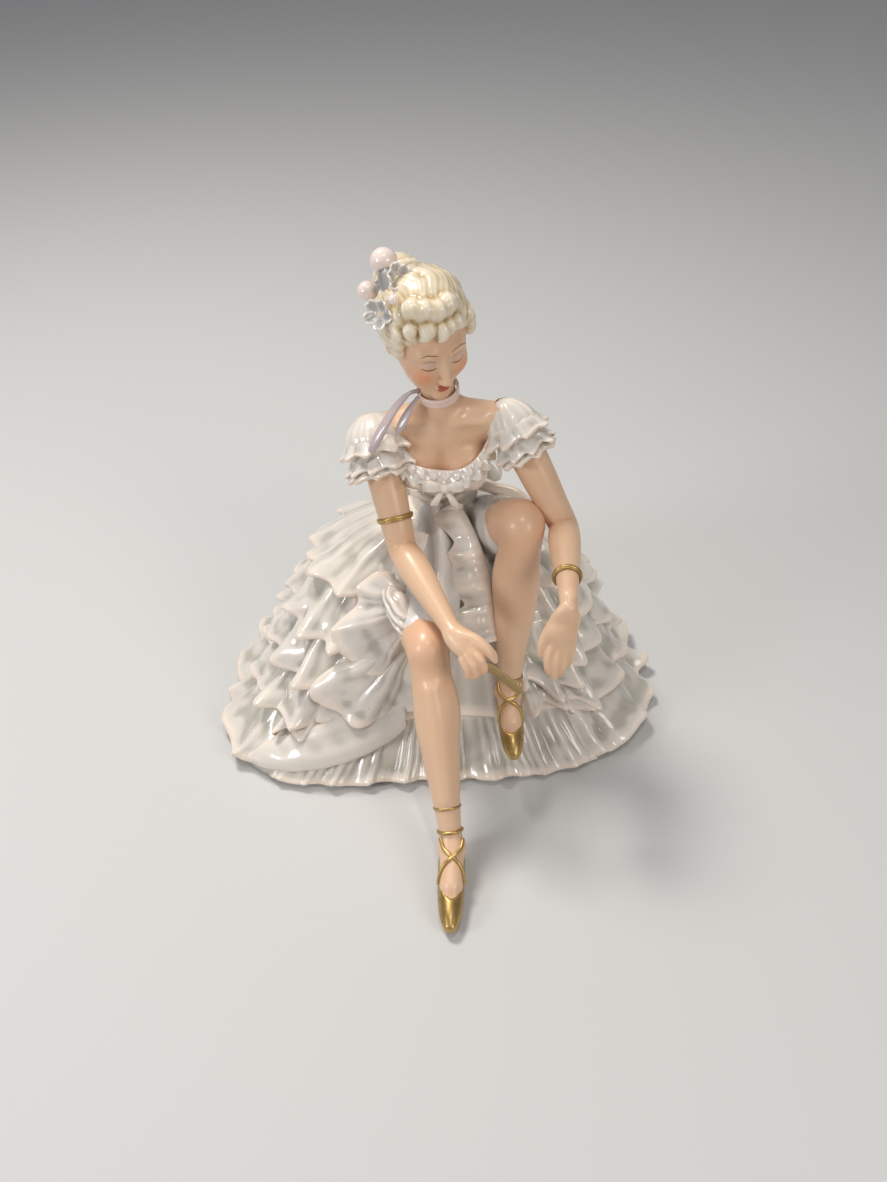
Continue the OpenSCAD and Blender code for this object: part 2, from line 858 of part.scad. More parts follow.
module hair_pearl() {
    color(white) translate(pearl_at * k) sphere(d = ball_d * 0.36 * k, $fn = 32);
}

flower_out = unit([-0.75, -0.25, 0.6]);
module hair_stem() {
    foot = flower_at - flower_out * 3;
    top = ball_at - flower_out * (ball_d / 2 - 0.8);
    color(shade) carve() {
        limb([
            for (q = [[0, 3.2], [0.5, 2.6], [1, 2]])
                let (p = along(foot, top, q[0])) body(p[0], p[1], p[2], q[1])
        ], 1, 10);
        hair_solid();
        hair_ball_large();
    }
}

module hair_petals() {
    e1 = unit(cross(flower_out, [0, 1, 0]));
    e2 = cross(flower_out, e1);
    rings = [
        for (q = [[0.4, -0.4], [1, 1.4], [1, 2.8], [0.4, 1.4]])
            [
                for (j = [0:19])
                    let (a = 18 * j, r = q[0] * (6.4 + 1.5 * cos(5 * a)))
                        (flower_at + e1 * r * cos(a) + e2 * r * sin(a) + flower_out * q[1]) * k
            ]
    ];
    color(shade) carve() {
        skin_over(rings);
        hair_solid();
        head_solid();
        hair_roll();
        hair_stem();
        chignon();
        hair_ball_large();
        hair_ball_small();
        hair_pearl();
    }
}

// ---- ribbons ----
module choker() {
    at = [-1.95, -7.3, 156];
    axis = [-0.8, -1.5, 6];
    color(pink)
        aimed(at * k, axis)
            rotate_extrude($fn = 64)
                translate([(6.9 + 0.5) * k, 0]) square([1 * k, 3.2 * k], center = true);
}

module neck_ribbon() {
    color(lilac)
        limb([
            body(-10.6, -6, 155.6, 1, 0.6), body(-14, -6.6, 156.6, 2, 0.7), body(-18.4, -10, 153, 2.6, 0.7),
            body(-22.4, -14.6, 147.2, 3, 0.7), body(-25.8, -17.4, 140.6, 2.8, 0.7),
            body(-28.6, -17.4, 134.8, 0.5, 0.5)
        ], 2, 6, [0.7, -0.3, 0.5]);
}

module neck_ribbon_short() {
    color(lilac)
        limb([
            body(-10.4, -8.4, 154, 0.9, 0.6), body(-12.4, -12, 151, 1.8, 0.7),
            body(-14.8, -14.6, 146.4, 2, 0.7),
            body(-17, -15.6, 141.6, 0.5, 0.5)
        ], 2, 6, [0.7, -0.3, 0.5]);
}

module sash_tail() {
    color(peach) carve() {
        limb([
            body(9, 15.4, 104, 2, 0.9), body(15, 12, 103.6, 2.6, 1), body(22, 10.5, 101, 2.8, 1),
            body(30, 10.5, 97.6, 3, 1), body(36, 10, 93, 1.6, 0.8)
        ], 2, 8, [0, 0.2, 1]);
        bodice();
        overskirt_thigh();
    }
}

module back_bow() {
    color(shade) carve() {
        union() {
            for (m = [-1, 1]) {
                limb([
                    body(m * 1, 17, 101, 2, 1.6), body(m * 9, 21, 105, 5, 3.2),
                    body(m * 18, 20, 105, 5.6, 3.4),
                    body(m * 25, 16, 102.4, 2, 1.2)
                ], 1, 10, [0, 0, 1]);
                limb([
                    body(m * 1, 18, 99, 2, 1.4), body(m * 5, 27, 92, 4.4, 1.4), body(m * 8.6, 39, 83, 4, 1.2)
                ], 1, 8, [1, 0, 0]);
            }
            limb([body(0, 14, 101, 3), body(0, 18.5, 101, 4), body(0, 22, 101, 2.4)], 1, 10, [1, 0, 0]);
        }
        bodice();
        core_solid();
        sash_tail();
        overskirt_thigh();
        tier(4);
        tier(3);
    }
}

skirt_core();
base_plate();
tier(0);  // tier_1
tier(1);  // tier_2
tier(2);  // tier_3
tier(3);  // tier_4
tier(4);  // tier_5
petticoat();
flounce();
overskirt_lap();
overskirt_thigh();
drape_flap();
drape_knot();
cascade();
side_ruffle_upper();
side_ruffle_lower();
train_fold();
pocket_ruffles();
bodice();
bust();
neckline_ruffle();
bodice_bow();
sleeve(right);  // sleeve_right
sleeve(left);  // sleeve_left
sleeve_frill(right, shoulder_row);  // sleeve_frill_right
sleeve_frill(left, shoulder_row);  // sleeve_frill_left
sleeve_frill(right, cuff_row);  // cuff_frill_right
sleeve_frill(left, cuff_row);  // cuff_frill_left
head();
hair_cap();
hair_roll();
fringe();
temple_curls(-1);  // temple_curls_right
temple_curls(1);  // temple_curls_left
chignon();
hair_ball_large();
hair_ball_small();
hair_pearl();
hair_stem();
hair_petals();
choker();
neck_ribbon();
neck_ribbon_short();
sash_tail();
back_bow();
arm(right);  // arm_right
arm(left);  // arm_left
leg("right");  // leg_right
leg("left");  // leg_left
shoe("right");  // shoe_right
shoe("left");  // shoe_left
ankle_band_right();
ankle_ribbon_right();
ankle_ribbon_left();
shoe_ribbon();
armband();
bracelet();
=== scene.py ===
import bmesh
import bpy
import math
import numpy as np
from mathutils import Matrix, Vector
from mathutils.bvhtree import BVHTree


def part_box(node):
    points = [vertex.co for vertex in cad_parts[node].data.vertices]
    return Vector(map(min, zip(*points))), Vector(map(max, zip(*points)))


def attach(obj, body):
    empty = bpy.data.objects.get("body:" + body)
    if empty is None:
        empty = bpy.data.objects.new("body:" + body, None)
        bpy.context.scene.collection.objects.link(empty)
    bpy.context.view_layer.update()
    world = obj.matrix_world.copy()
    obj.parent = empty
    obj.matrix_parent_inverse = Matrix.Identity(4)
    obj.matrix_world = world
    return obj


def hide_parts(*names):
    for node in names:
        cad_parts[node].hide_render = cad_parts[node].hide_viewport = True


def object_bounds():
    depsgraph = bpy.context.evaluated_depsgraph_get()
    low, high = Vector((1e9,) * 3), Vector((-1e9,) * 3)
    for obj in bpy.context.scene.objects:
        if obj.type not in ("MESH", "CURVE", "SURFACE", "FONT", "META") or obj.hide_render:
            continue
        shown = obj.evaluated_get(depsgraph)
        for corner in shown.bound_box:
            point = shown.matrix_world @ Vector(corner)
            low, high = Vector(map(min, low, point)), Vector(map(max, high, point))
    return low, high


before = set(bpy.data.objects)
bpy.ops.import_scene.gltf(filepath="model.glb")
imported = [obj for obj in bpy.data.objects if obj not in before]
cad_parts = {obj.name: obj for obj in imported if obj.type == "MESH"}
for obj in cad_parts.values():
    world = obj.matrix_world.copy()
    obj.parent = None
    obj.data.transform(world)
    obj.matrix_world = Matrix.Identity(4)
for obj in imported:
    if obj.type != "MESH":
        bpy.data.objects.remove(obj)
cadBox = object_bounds()
mm = 0.001 * cadBox[1].z / 0.20775  # the figure's own millimetre, from the frame's height
print("frame loaded, one millimetre is", round(mm, 6))


# ---------- small helpers ----------
def vec(*values):
    return np.array(values, float)


def unit(v):
    return v / max(np.linalg.norm(v), 1e-9)


def mix(a, b, t):
    return a + (b - a) * t


def bump(x, width):
    return np.exp(-(np.asarray(x, float) / width) ** 2)


def sinD(a):
    return np.sin(np.radians(a))


def cosD(a):
    return np.cos(np.radians(a))


def middle(node):
    low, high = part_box(node)
    return np.array((low + high) / 2) / mm


def smoothPath(points, steps):
    # a curve through given points; any extra columns, such as the radius, follow along
    p = np.array(points, float)
    p = np.vstack([2 * p[0] - p[1], p, 2 * p[-1] - p[-2]])
    rows = []
    for i in range(1, len(p) - 2):
        for s in range(steps):
            t = s / steps
            a, b, c, d = p[i - 1], p[i], p[i + 1], p[i + 2]
            rows.append(0.5 * (2 * b + (c - a) * t + (2 * a - 5 * b + 4 * c - d) * t * t
                               + (3 * b - a - 3 * c + d) * t ** 3))
    rows.append(p[-2])
    return np.array(rows)


# ---------- mesh making ----------
def meshFrom(name, points, faces):
    mesh = bpy.data.meshes.new(name)
    points = np.asarray(points, np.float32) * mm
    faces = np.asarray(faces, np.int32)
    mesh.vertices.add(len(points))
    mesh.vertices.foreach_set("co", points.ravel())
    sides = faces.shape[1]
    mesh.loops.add(faces.size)
    mesh.loops.foreach_set("vertex_index", faces.ravel())
    mesh.polygons.add(len(faces))
    mesh.polygons.foreach_set("loop_start", np.arange(0, faces.size, sides, dtype=np.int32))
    mesh.update(calc_edges=True)
    mesh.validate()
    return mesh


def addObject(name, mesh):
    piece = bpy.data.objects.new(name, mesh)
    bpy.context.scene.collection.objects.link(piece)
    return piece


def verticesOf(mesh):
    points = np.zeros(len(mesh.vertices) * 3, np.float32)
    mesh.vertices.foreach_get("co", points)
    return points.reshape(-1, 3) / mm


def edgesOf(mesh):
    edges = np.zeros(len(mesh.edges) * 2, np.int32)
    mesh.edges.foreach_get("vertices", edges)
    return edges.reshape(-1, 2)


def normalsOf(mesh):
    normals = np.zeros(len(mesh.vertices) * 3, np.float32)
    mesh.vertex_normals.foreach_get("vector", normals)
    return normals.reshape(-1, 3)


def averaged(values, edges, times):
    n = len(values)
    a, b = edges[:, 0], edges[:, 1]
    count = np.maximum(np.bincount(a, minlength=n) + np.bincount(b, minlength=n), 1)
    for _ in range(times):
        total = np.empty_like(values, dtype=float)
        for c in range(values.shape[1]):
            total[:, c] = np.bincount(a, weights=values[b, c], minlength=n)
            total[:, c] += np.bincount(b, weights=values[a, c], minlength=n)
        values = mix(values, total / count[:, None], 0.6)
    return values


def setValue(mesh, name, values):
    layer = mesh.attributes.get(name) or mesh.attributes.new(name, "FLOAT", "POINT")
    layer.data.foreach_set("value", np.asarray(values, np.float32))


def markHollows(mesh, reach, depth):
    # hollow is 0.5 on flat ground, 1 deep in a fold and 0 on a sharp crest
    points, edges = verticesOf(mesh).astype(float), edgesOf(mesh)
    length = np.linalg.norm(points[edges[:, 0]] - points[edges[:, 1]], axis=1).mean()
    times = int(min(max((reach / length) ** 2, 4), 60))
    raised = ((averaged(points, edges, times) - points) * normalsOf(mesh)).sum(1)
    raised = averaged(raised[:, None], edges, 3)[:, 0]
    # the glazes darken the colour by this value, as painted shade in folds
    setValue(mesh, "hollow", np.clip(0.5 + raised / depth, 0, 1))


def finishPiece(piece, material, nodes, reach=1.6, depth=0.9):
    mesh = piece.data
    mesh.materials.clear()
    mesh.materials.append(material)
    mesh.polygons.foreach_set("use_smooth", np.ones(len(mesh.polygons), bool))
    markHollows(mesh, reach, depth)
    mesh.update()
    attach(piece, "root")
    if nodes:
        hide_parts(*nodes)
    return piece


def settled(piece):
    # turns what the modifiers make into the piece's own plain mesh
    graph = bpy.context.evaluated_depsgraph_get()
    mesh = bpy.data.meshes.new_from_object(piece.evaluated_get(graph))
    piece.modifiers.clear()
    piece.data = mesh
    return piece


# ---------- soft clay: shapes blended into one skin ----------
def clayBlock(low, high, step):
    low, high = np.array(low, float), np.array(high, float)
    counts = np.ceil((high - low) / step).astype(int) + 1
    axes = [low[i] + step * np.arange(counts[i]) for i in range(3)]
    return {"d": np.full(counts, 9.0, np.float32), "axes": axes, "step": step}


def part(clay, low, high):
    spans, grids = [], []
    for i in range(3):
        axis = clay["axes"][i]
        a = int(np.searchsorted(axis, low[i]))
        b = int(np.searchsorted(axis, high[i]))
        spans.append(slice(max(a - 1, 0), min(b + 1, len(axis))))
        shape = [1, 1, 1]
        shape[i] = -1
        grids.append(axis[spans[i]].reshape(shape).astype(np.float32))
    return tuple(spans), grids


def press(clay, spans, d, soft, cut=False):
    old = clay["d"][spans]
    if cut:
        old, d = -old, d
    if soft > 0:
        h = np.maximum(soft - np.abs(old - d), 0) / soft
        new = np.minimum(old, d) - h * h * soft * 0.25
    else:
        new = np.minimum(old, d)
    clay["d"][spans] = -new if cut else new


def addCone(clay, a, b, ra, rb, soft=0.0, cut=False):
    a, b = np.array(a, float), np.array(b, float)
    reach = max(ra, rb) + soft + 2 * clay["step"]
    spans, (x, y, z) = part(clay, np.minimum(a, b) - reach, np.maximum(a, b) + reach)
    ab = b - a
    t = ((x - a[0]) * ab[0] + (y - a[1]) * ab[1] + (z - a[2]) * ab[2]) / max(ab @ ab, 1e-9)
    t = np.clip(t, 0, 1)
    d = np.sqrt((x - a[0] - t * ab[0]) ** 2 + (y - a[1] - t * ab[1]) ** 2 + (z - a[2] - t * ab[2]) ** 2)
    press(clay, spans, d - mix(ra, rb, t), soft, cut)


def addBall(clay, centre, radii, soft=0.0, turn=None, cut=False):
    # turn holds the three unit directions of the radii, as rows
    centre, radii = np.array(centre, float), np.array(radii, float)
    turn = np.eye(3) if turn is None else np.array(turn, float)
    reach = np.sqrt((turn.T ** 2 @ radii ** 2)) + soft + 2 * clay["step"]
    spans, (x, y, z) = part(clay, centre - reach, centre + reach)
    x, y, z = x - centre[0], y - centre[1], z - centre[2]
    near, far = 0, 0
    for i in range(3):
        q = x * turn[i][0] + y * turn[i][1] + z * turn[i][2]
        near = near + (q / radii[i]) ** 2
        far = far + (q / radii[i] ** 2) ** 2
    near, far = np.sqrt(near), np.sqrt(far)
    press(clay, spans, near * (near - 1) / np.maximum(far, 1e-6), soft, cut)


def addChain(clay, points, steps=8, soft=0.0):
    # a tapered limb through points of x, y, z and radius, blended once into what is there
    rows = smoothPath(points, steps)
    reach = rows[:, 3].max() + soft + 2 * clay["step"]
    spans, (x, y, z) = part(clay, rows[:, :3].min(0) - reach, rows[:, :3].max(0) + reach)
    best = np.full(clay["d"][spans].shape, 9.0, np.float32)
    for a, b in zip(rows[:-1], rows[1:]):
        ab = b[:3] - a[:3]
        t = ((x - a[0]) * ab[0] + (y - a[1]) * ab[1] + (z - a[2]) * ab[2]) / max(ab @ ab, 1e-9)
        t = np.clip(t, 0, 1)
        d = np.sqrt((x - a[0] - t * ab[0]) ** 2 + (y - a[1] - t * ab[1]) ** 2
                    + (z - a[2] - t * ab[2]) ** 2) - mix(a[3], b[3], t)
        np.minimum(best, d, out=best)
    press(clay, spans, best, soft)


def skinOf(clay, smoothing=3):
    # a skin of quads over the clay, one corner in each cell that the surface crosses
    f = clay["d"]
    solid = f < 0
    total = np.zeros(tuple(n - 1 for n in f.shape), np.int8)
    corners = [(i, j, k) for i in (0, 1) for j in (0, 1) for k in (0, 1)]
    for i, j, k in corners:
        total += solid[i:f.shape[0] - 1 + i, j:f.shape[1] - 1 + j, k:f.shape[2] - 1 + k]
    cells = (total > 0) & (total < 8)
    number = np.full(cells.shape, -1, np.int32)
    at = np.argwhere(cells)
    number[cells] = np.arange(len(at))
    place, count = np.zeros((len(at), 3)), np.zeros(len(at))
    for p in corners:
        for axis in range(3):
            if p[axis] == 1:
                continue
            q = list(p)
            q[axis] = 1
            fa = f[at[:, 0] + p[0], at[:, 1] + p[1], at[:, 2] + p[2]]
            fb = f[at[:, 0] + q[0], at[:, 1] + q[1], at[:, 2] + q[2]]
            cross = (fa < 0) != (fb < 0)
            t = fa[cross] / (fa[cross] - fb[cross])
            spot = np.tile(np.array(p, float), (cross.sum(), 1))
            spot[:, axis] += t
            place[cross] += spot
            count[cross] += 1
    place = place / count[:, None] + at
    faces = []
    for axis in range(3):
        u, v = (axis + 1) % 3, (axis + 2) % 3
        low = [slice(None)] * 3
        high = [slice(None)] * 3
        low[axis], high[axis] = slice(0, -1), slice(1, None)
        change = solid[tuple(low)] != solid[tuple(high)]
        ends = np.argwhere(change)
        ends = ends[(ends[:, u] > 0) & (ends[:, v] > 0)]
        ends = ends[(ends[:, u] < f.shape[u] - 1) & (ends[:, v] < f.shape[v] - 1)]
        du, dv = np.zeros(3, int), np.zeros(3, int)
        du[u], dv[v] = 1, 1
        quad = [number[tuple(e.T)] for e in (ends - du - dv, ends - dv, ends, ends - du)]
        quad = np.stack(quad, 1)
        outward = solid[tuple(ends.T)]
        quad[~outward] = quad[~outward][:, ::-1]
        faces.append(quad)
    origin = np.array([a[0] for a in clay["axes"]])
    points = place * clay["step"] + origin
    faces = np.vstack(faces)
    edges = np.vstack([faces[:, [0, 1]], faces[:, [1, 2]], faces[:, [2, 3]], faces[:, [3, 0]]])
    for _ in range(smoothing):  # smooth, then swell back by the same amount
        points = averaged(points, edges, 1)
        points = points - 0.9 * (averaged(points, edges, 1) - points)
    return averaged(points, edges, 1), faces


# ---------- the skirt's ground surface ----------
skirt = {"coreX": 90.3, "coreY": 59.3, "waistZ": 97.0, "waistY": 7.0, "waistRx": 12.5, "waistRy": 9.0}


def oval(a, rx, ry, power):
    return (np.abs(cosD(a) / rx) ** power + np.abs(sinD(a) / ry) ** power) ** (-1 / power)


def turned(a):
    return (np.asarray(a, float) + 180) % 360 - 180


def ground(a, z, off):
    # a point off millimetres above the skirt's casting, at compass angle a and height z
    a, z, off = np.broadcast_arrays(np.asarray(a, float), np.asarray(z, float), np.asarray(off, float))
    u = np.clip(z / skirt["waistZ"], 0, 1)
    dome = 0.62 - 0.13 * bump(turned(a + 80), 50)
    spread = dome * (1 - u ** 4) ** 0.8 + (1 - dome) * (1 - u) ** 3
    hem = oval(a, skirt["coreX"], skirt["coreY"], 2.6) * (1 + 0.17 * bump(turned(a + 142), 24))
    waist = oval(a, skirt["waistRx"], skirt["waistRy"], 2)
    r = mix(waist, hem, spread)
    c, s = cosD(a), sinD(a)
    up = 0.9 * u
    size = np.sqrt(1 + up ** 2)
    return np.stack([r * c + off * c / size, skirt["waistY"] * u + r * s + off * s / size,
                     z + off * up / size], -1)


# ---------- glazes ----------
def mathNode(tree, operation, a, b=None, c=None, clamp=False):
    node = tree.nodes.new("ShaderNodeMath")
    node.operation = operation
    node.use_clamp = clamp
    for i, value in enumerate((a, b, c)):
        if value is None:
            continue
        if isinstance(value, (int, float)):
            node.inputs[i].default_value = value
        else:
            tree.links.new(value, node.inputs[i])
    return node.outputs[0]


def rampNode(tree, fac, stops):
    node = tree.nodes.new("ShaderNodeValToRGB")
    ramp = node.color_ramp
    ramp.interpolation = "EASE"
    while len(ramp.elements) < len(stops):
        ramp.elements.new(0.5)
    for element, (place, colour) in zip(ramp.elements, stops):
        element.position = place
        element.color = (*colour, 1)
    tree.links.new(fac, node.inputs["Fac"])
    return node.outputs["Color"]


def mixColour(tree, fac, a, b, kind="MIX"):
    node = tree.nodes.new("ShaderNodeMix")
    node.data_type = "RGBA"
    node.blend_type = kind
    for socket, value in ((node.inputs[0], fac), (node.inputs[6], a), (node.inputs[7], b)):
        if isinstance(value, (int, float)):
            socket.default_value = value
        elif isinstance(value, tuple):
            socket.default_value = (*value, 1)
        else:
            tree.links.new(value, socket)
    return node.outputs[2]


def noiseNode(tree, where, scale, detail=3.0, roughness=0.5):
    node = tree.nodes.new("ShaderNodeTexNoise")
    node.inputs["Scale"].default_value = scale
    node.inputs["Detail"].default_value = detail
    node.inputs["Roughness"].default_value = roughness
    tree.links.new(where, node.inputs["Vector"])
    return node.outputs["Fac"]


def attributeNode(tree, name):
    node = tree.nodes.new("ShaderNodeAttribute")
    node.attribute_name = name
    return node.outputs["Fac"]


def glaze(name, look, paint=None):
    # a fired glaze with a hard clear coat; the colour ramp goes from light on crests to dark in folds and
    # hollows, which is painted shade, and a cloudy noise adds random tone
    material = bpy.data.materials.new(name)
    material.use_nodes = True
    tree = material.node_tree
    shader = tree.nodes["Principled BSDF"]
    where = tree.nodes.new("ShaderNodeTexCoord").outputs["Object"]
    hollow = attributeNode(tree, "hollow")
    cloud = noiseNode(tree, where, look.get("cloudScale", 60))
    # painted shade: the hollow value, with random cloudy tone added, picks a darker ramp colour in folds and
    # hollows
    shadeAndTone = mathNode(tree, "MULTIPLY_ADD", cloud, look.get("cloud", 0.3), hollow)
    shadeAndTone = mathNode(tree, "SUBTRACT", shadeAndTone, look.get("cloud", 0.3) * 0.5, clamp=True)
    colour = rampNode(tree, shadeAndTone, look["ramp"])
    if "second" in look:
        patch = noiseNode(tree, where, 26, 2)
        patch = rampNode(tree, patch, [(0.42, (0, 0, 0)), (0.62, (1, 1, 1))])
        colour = mixColour(tree, mathNode(tree, "MULTIPLY", patch, look["secondAmount"]), colour,
                           look["second"],
                           "MULTIPLY")
    if look.get("specks"):
        speck = noiseNode(tree, where, 520, 1)
        speck = rampNode(tree, speck, [(0.80, (0, 0, 0)), (0.81, (1, 1, 1))])
        colour = mixColour(tree, mathNode(tree, "MULTIPLY", speck, look["specks"]), colour,
                           (0.12, 0.10, 0.09))
    if paint:
        colour = paint(tree, colour)
    tree.links.new(colour, shader.inputs["Base Color"])
    fine = noiseNode(tree, where, look.get("fineScale", 240), 2)
    rough = mathNode(tree, "MULTIPLY_ADD", fine, look.get("roughSpread", 0.08), look["rough"])
    tree.links.new(rough, shader.inputs["Roughness"])
    shader.inputs["Metallic"].default_value = look.get("metallic", 0.0)
    shader.inputs["Coat Weight"].default_value = look.get("coat", 0.6)
    shader.inputs["Coat Roughness"].default_value = look.get("coatRough", 0.05)
    shader.inputs["Subsurface Weight"].default_value = look.get("glow", 0.0)
    shader.inputs["Subsurface Radius"].default_value = (1.0, 0.6, 0.4)
    shader.inputs["Subsurface Scale"].default_value = 0.0012
    pull = tree.nodes.new("ShaderNodeBump")
    pull.inputs["Strength"].default_value = look.get("bump", 0.12)
    pull.inputs["Distance"].default_value = 0.0004
    ripple = noiseNode(tree, where, look.get("rippleScale", 150), 2)
    tree.links.new(ripple, pull.inputs["Height"])
    tree.links.new(pull.outputs["Normal"], shader.inputs["Normal"])
    return material


# each ramp runs from the colour on crests to far darker colours deep in folds and hollows: painted shade
looks = {
    "white": {"ramp": [(0.20, (0.90, 0.81, 0.71)), (0.45, (0.76, 0.71, 0.635)), (0.58, (0.53, 0.50, 0.42)),
                       (0.80, (0.31, 0.28, 0.215))],
              "second": (0.90, 0.88, 0.93), "secondAmount": 0.35, "rough": 0.20, "coat": 0.9,
              "coatRough": 0.04,
              "specks": 0.7, "cloud": 0.16, "glow": 0.06},
    "grey": {"ramp": [(0.22, (0.82, 0.78, 0.74)), (0.46, (0.66, 0.635, 0.60)), (0.64, (0.46, 0.44, 0.40)),
                      (0.88, (0.26, 0.25, 0.23))],
             "rough": 0.22, "coat": 0.9, "cloud": 0.2},
    # the stem's grey is darkened to stand for the shade under the large ball: painted shade
    "stem": {"ramp": [(0.2, (0.50, 0.48, 0.46)), (0.55, (0.25, 0.235, 0.225)), (0.9, (0.13, 0.12, 0.11))],
             "rough": 0.28, "coat": 0.8, "cloud": 0.3},
    "skin": {"ramp": [(0.2, (0.82, 0.58, 0.40)), (0.5, (0.76, 0.50, 0.32)), (0.75, (0.60, 0.32, 0.18)),
                      (1.0, (0.42, 0.20, 0.11))],
             "second": (0.96, 0.92, 0.90), "secondAmount": 0.5, "rough": 0.34, "coat": 0.22,
             "coatRough": 0.18,
             "cloud": 0.08, "glow": 0.1, "bump": 0.06, "specks": 0.35},
    "hair": {"ramp": [(0.15, (0.84, 0.75, 0.59)), (0.45, (0.74, 0.63, 0.45)), (0.64, (0.60, 0.46, 0.26)),
                      (0.92, (0.38, 0.25, 0.10))],
             "rough": 0.3, "coat": 0.5, "coatRough": 0.12, "cloud": 0.2, "cloudScale": 90},
    "gold": {"ramp": [(0.2, (0.56, 0.38, 0.14)), (0.5, (0.38, 0.245, 0.085)), (0.9, (0.15, 0.085, 0.03))],
             "rough": 0.27, "roughSpread": 0.22, "metallic": 0.9, "coat": 0.25, "coatRough": 0.15,
             "cloud": 0.5,
             "cloudScale": 130, "bump": 0.3, "fineScale": 500},
    "lilac": {"ramp": [(0.2, (0.50, 0.42, 0.42)), (0.6, (0.34, 0.27, 0.28)), (0.9, (0.22, 0.17, 0.18))],
              "rough": 0.24, "coat": 0.8, "cloud": 0.25},
    "pink": {"ramp": [(0.2, (0.86, 0.66, 0.58)), (0.6, (0.72, 0.52, 0.45)), (0.9, (0.5, 0.33, 0.27))],
             "rough": 0.25, "coat": 0.7, "cloud": 0.15},
    "peach": {"ramp": [(0.2, (0.94, 0.80, 0.66)), (0.5, (0.84, 0.70, 0.57)), (0.7, (0.64, 0.49, 0.36)),
                       (0.95, (0.44, 0.29, 0.18))],
              "rough": 0.22, "coat": 0.9, "cloud": 0.2},
    "bisque": {"ramp": [(0.2, (0.80, 0.76, 0.70)), (0.9, (0.62, 0.58, 0.52))], "rough": 0.75, "coat": 0.0,
               "cloud": 0.5, "bump": 0.4, "rippleScale": 900},
    "paint": {"ramp": [(0.2, (0.22, 0.10, 0.05)), (0.9, (0.12, 0.05, 0.03))], "rough": 0.35, "coat": 0.4,
              "cloud": 0.3},
}


def paintedWarmReflection(tree, colour):
    # free edges and low rims get a warm colour: a painted warm reflection of the surface below
    edge = attributeNode(tree, "edge")
    edge = mathNode(tree, "MULTIPLY", edge, 0.5)
    return mixColour(tree, edge, colour, (0.84, 0.64, 0.48))


def facePaint(tree, colour):
    colour = mixColour(tree, attributeNode(tree, "blush"), colour, (0.80, 0.24, 0.10))
    colour = mixColour(tree, attributeNode(tree, "lips"), colour, (0.46, 0.10, 0.06))
    return mixColour(tree, attributeNode(tree, "lids"), colour, (0.66, 0.47, 0.44))


def warmSkin(tree, colour):
    return mixColour(tree, attributeNode(tree, "blush"), colour, (0.82, 0.40, 0.22))


# the white and grey glazes carry the painted warm reflection on their edges
whiteGlaze = glaze("whiteGlaze", looks["white"], paintedWarmReflection)
greyGlaze = glaze("greyGlaze", looks["grey"], paintedWarmReflection)
# dark grey for the stem: painted shade under the large ball
shadedStemGlaze = glaze("shadedStemGlaze", looks["stem"])
skinGlaze = glaze("skinGlaze", looks["skin"], warmSkin)
faceGlaze = glaze("faceGlaze", looks["skin"], facePaint)
hairGlaze = glaze("hairGlaze", looks["hair"])
goldLustre = glaze("goldLustre", looks["gold"])
lilacGlaze = glaze("lilacGlaze", looks["lilac"])
pinkGlaze = glaze("pinkGlaze", looks["pink"])
peachGlaze = glaze("peachGlaze", looks["peach"])
bisque = glaze("bisque", looks["bisque"])
brownPaint = glaze("brownPaint", looks["paint"])
looks["pearlWhite"] = {"ramp": [(0.3, (0.93, 0.80, 0.74)), (0.55, (0.86, 0.72, 0.66)),
                                (0.9, (0.6, 0.5, 0.45))],
                       "rough": 0.12, "coat": 1.0, "coatRough": 0.02, "cloud": 0.2, "bump": 0.03,
                       "glow": 0.08}
pinkishWhite = glaze("pearlWhiteGlaze", looks["pearlWhite"])
print("glazes mixed")


# ---------- the ruffle tree: folds a plain sheet ----------
def vectorNode(tree, operation, a, b=None, scale=None):
    node = tree.nodes.new("ShaderNodeVectorMath")
    node.operation = operation
    tree.links.new(a, node.inputs[0])
    if b is not None:
        tree.links.new(b, node.inputs[1])
    if scale is not None:
        tree.links.new(scale, node.inputs["Scale"])
    return node.outputs[0]


def namedInput(tree, name, kind):
    node = tree.nodes.new("GeometryNodeInputNamedAttribute")
    node.data_type = kind
    node.inputs["Name"].default_value = name
    return node.outputs["Attribute"]


def lineNoise(tree, along, scale, seed):
    node = tree.nodes.new("ShaderNodeTexNoise")
    node.noise_dimensions = "2D"
    node.inputs["Scale"].default_value = 1.0
    node.inputs["Detail"].default_value = 1.0
    joined = tree.nodes.new("ShaderNodeCombineXYZ")
    tree.links.new(mathNode(tree, "MULTIPLY", along, scale), joined.inputs[0])
    tree.links.new(seed, joined.inputs[1])
    tree.links.new(joined.outputs[0], node.inputs["Vector"])
    return mathNode(tree, "MULTIPLY_ADD", node.outputs["Fac"], 2.0, -1.0)


def constantVector(tree, value):
    node = tree.nodes.new("ShaderNodeCombineXYZ")
    for socket in node.inputs:
        socket.default_value = value
    return node.outputs[0]


